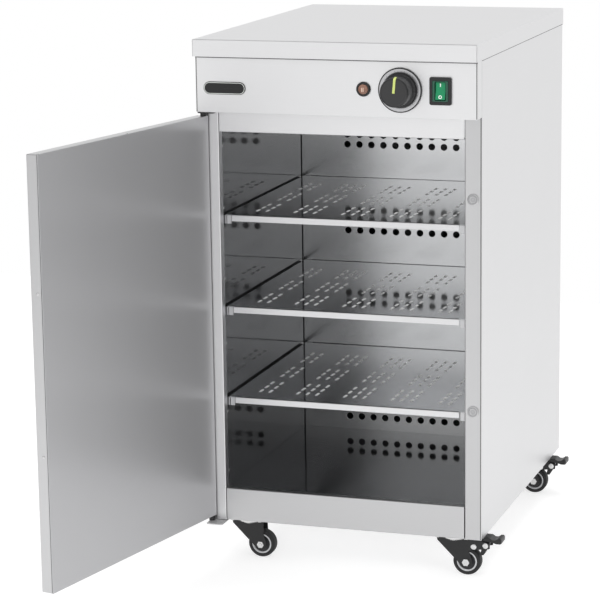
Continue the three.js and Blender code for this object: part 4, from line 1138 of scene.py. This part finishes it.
# ---- Stage -----------------------------------------------

FLOOR = (-1.8, -2.4, 1.8, 1.8)      # its near left and far right corners, in metres
FLOOR_LIFT = 0.66           # what the eye adds to the floor's own light
MIRRORED_LIFT = 0.50        # what mirrors add to it
STUDIO_FLANK = 0.35         # the world beside and above the cart, for mirrors
STUDIO_ENDS = 0.96          # the world before and behind it, for mirrors
WORLD_LIGHT = 0.5           # the world, for everything matt


def make_camera():
    yaw, pitch, roll = (math.radians(angle) for angle in (18.316, 11.925, -0.811))
    turn = (Matrix.Rotation(yaw, 4, "Z") @ Matrix.Rotation(math.pi / 2 - pitch, 4, "X")
            @ Matrix.Rotation(roll, 4, "Z"))
    data = bpy.data.cameras.new("camera")
    data.lens = 148.25
    data.sensor_width = 36
    data.clip_end = 50
    camera = bpy.data.objects.new("camera", data)
    camera.matrix_world = at(1.1177, -3.8632, 1.1640, turn)
    scene.collection.objects.link(camera)
    scene.camera = camera


def seen_or_mirrored(tree, path):
    """1 for rays from the camera and for rays that metal or glass sends on."""
    first = calculate(tree, "MAXIMUM", path["Is Camera Ray"], path["Is Glossy Ray"])
    return calculate(tree, "MAXIMUM", first, path["Is Transmission Ray"])


def make_floor():
    material = bpy.data.materials.new("floor_white")
    material.use_nodes = True
    tree = material.node_tree
    tree.nodes.clear()
    path = add_node(tree, "ShaderNodeLightPath").outputs
    matt = add_node(tree, "ShaderNodeBsdfDiffuse", {"Color": (0.5, 0.5, 0.5, 1)})
    share = map_range(tree, path["Is Camera Ray"], MIRRORED_LIFT, FLOOR_LIFT)
    level = calculate(tree, "MULTIPLY", seen_or_mirrored(tree, path), share)
    lift = add_node(tree, "ShaderNodeEmission", {"Color": (1, 1, 1, 1), "Strength": level})
    both = add_node(tree, "ShaderNodeAddShader", {0: matt.outputs[0], 1: lift.outputs[0]})
    add_node(tree, "ShaderNodeOutputMaterial", {"Surface": both.outputs[0]})
    bm = bmesh.new()
    bm.faces.new([bm.verts.new((x, y, cad_low.z)) for x, y in rectangle(*FLOOR)])
    mesh = bpy.data.meshes.new("floor")
    bm.to_mesh(mesh)
    bm.free()
    mesh.materials.append(material)
    floor = bpy.data.objects.new("floor", mesh)
    scene.collection.objects.link(floor)


def make_world():
    """White for the camera. Metal also mirrors darker flanks and ceiling, as in a photo studio."""
    world = bpy.data.worlds.new("studio")
    world.use_nodes = True
    tree = world.node_tree
    tree.nodes.clear()
    path = add_node(tree, "ShaderNodeLightPath").outputs
    direction = add_node(tree, "ShaderNodeTexCoord").outputs["Generated"]
    parts = add_node(tree, "ShaderNodeSeparateXYZ", {0: direction}).outputs
    depth = calculate(tree, "ABSOLUTE", parts["Y"])
    mirrored = map_range(tree, depth, STUDIO_FLANK, STUDIO_ENDS, 0.25, 0.75, "SMOOTHSTEP")
    shown = calculate(tree, "MAXIMUM", mirrored, path["Is Camera Ray"])
    strength = map_range(tree, seen_or_mirrored(tree, path), WORLD_LIGHT, shown)
    shell = add_node(tree, "ShaderNodeBackground", {"Color": (1, 1, 1, 1), "Strength": strength})
    add_node(tree, "ShaderNodeOutputWorld", {"Surface": shell.outputs[0]})
    scene.world = world


def make_light(name, place, aim, size, power):
    data = bpy.data.lights.new(name, "AREA")
    data.shape = "DISK"
    data.size = size
    data.energy = power
    light = bpy.data.objects.new(name, data)
    light.location = place
    light.rotation_euler = (Vector(aim) - Vector(place)).to_track_quat("-Z", "Y").to_euler()
    light.visible_glossy = False
    scene.collection.objects.link(light)


# ---- Assembly --------------------------------------------

make_camera()
make_world()
make_floor()
make_light("key", (-2.8, -4.6, 4.6), (0, 0, 0.3), 2.4, 95)
make_light("front", (0.7, -4.6, 1.2), (0, 0, 0.35), 1.6, 75)
make_light("overhead", (0.3, 0.6, 4.2), (0, 0, 0.3), 3.0, 74)
make_light("fill", (4.2, -2.2, 2.6), (0, 0, 0.3), 2.4, 50)

make_worktop()
make_side("right", 1, post_steel)
make_side("left", -1, left_post_painted_light)
make_front_shade_lines()
make_rear_panel()
make_base()
make_ceiling()
make_duct_wall()
make_liner_screws()
for shelf_number in (1, 2, 3):
    make_shelf(shelf_number)
    make_runner(shelf_number, -1)
    make_runner(shelf_number, 1)
make_control_panel()
make_badge()
make_lamp()
make_dial()
make_knob()
make_switch()
make_rocker()
make_catches()
make_hinges()
make_door()
make_handle()
for corner_name in CORNERS:
    has_brake = f"brake_{corner_name}" in joints
    make_castor_plate(corner_name)
    make_fork(corner_name, has_brake)
    make_wheel(corner_name)
    if has_brake:
        make_pedal(corner_name)

# The chamber's side walls and floor take the liner steel darkened as painted shade.
for node_name, finish in (
    ("liner_left", liner_painted_shade), ("liner_right", liner_painted_shade), ("floor_panel", liner_painted_shade),
    ("thermostat", pale), ("terminal_block", pale), ("knob_spindle", steel_y),
    ("heating_element", dark_element), ("thermostat_bulb", copper), ("cable_gland", black_plastic),
    ("hinge_bush_lower", black_plastic), ("hinge_bush_upper", black_plastic),
):
    dress(node_name, finish)

scene.view_settings.view_transform = "Standard"
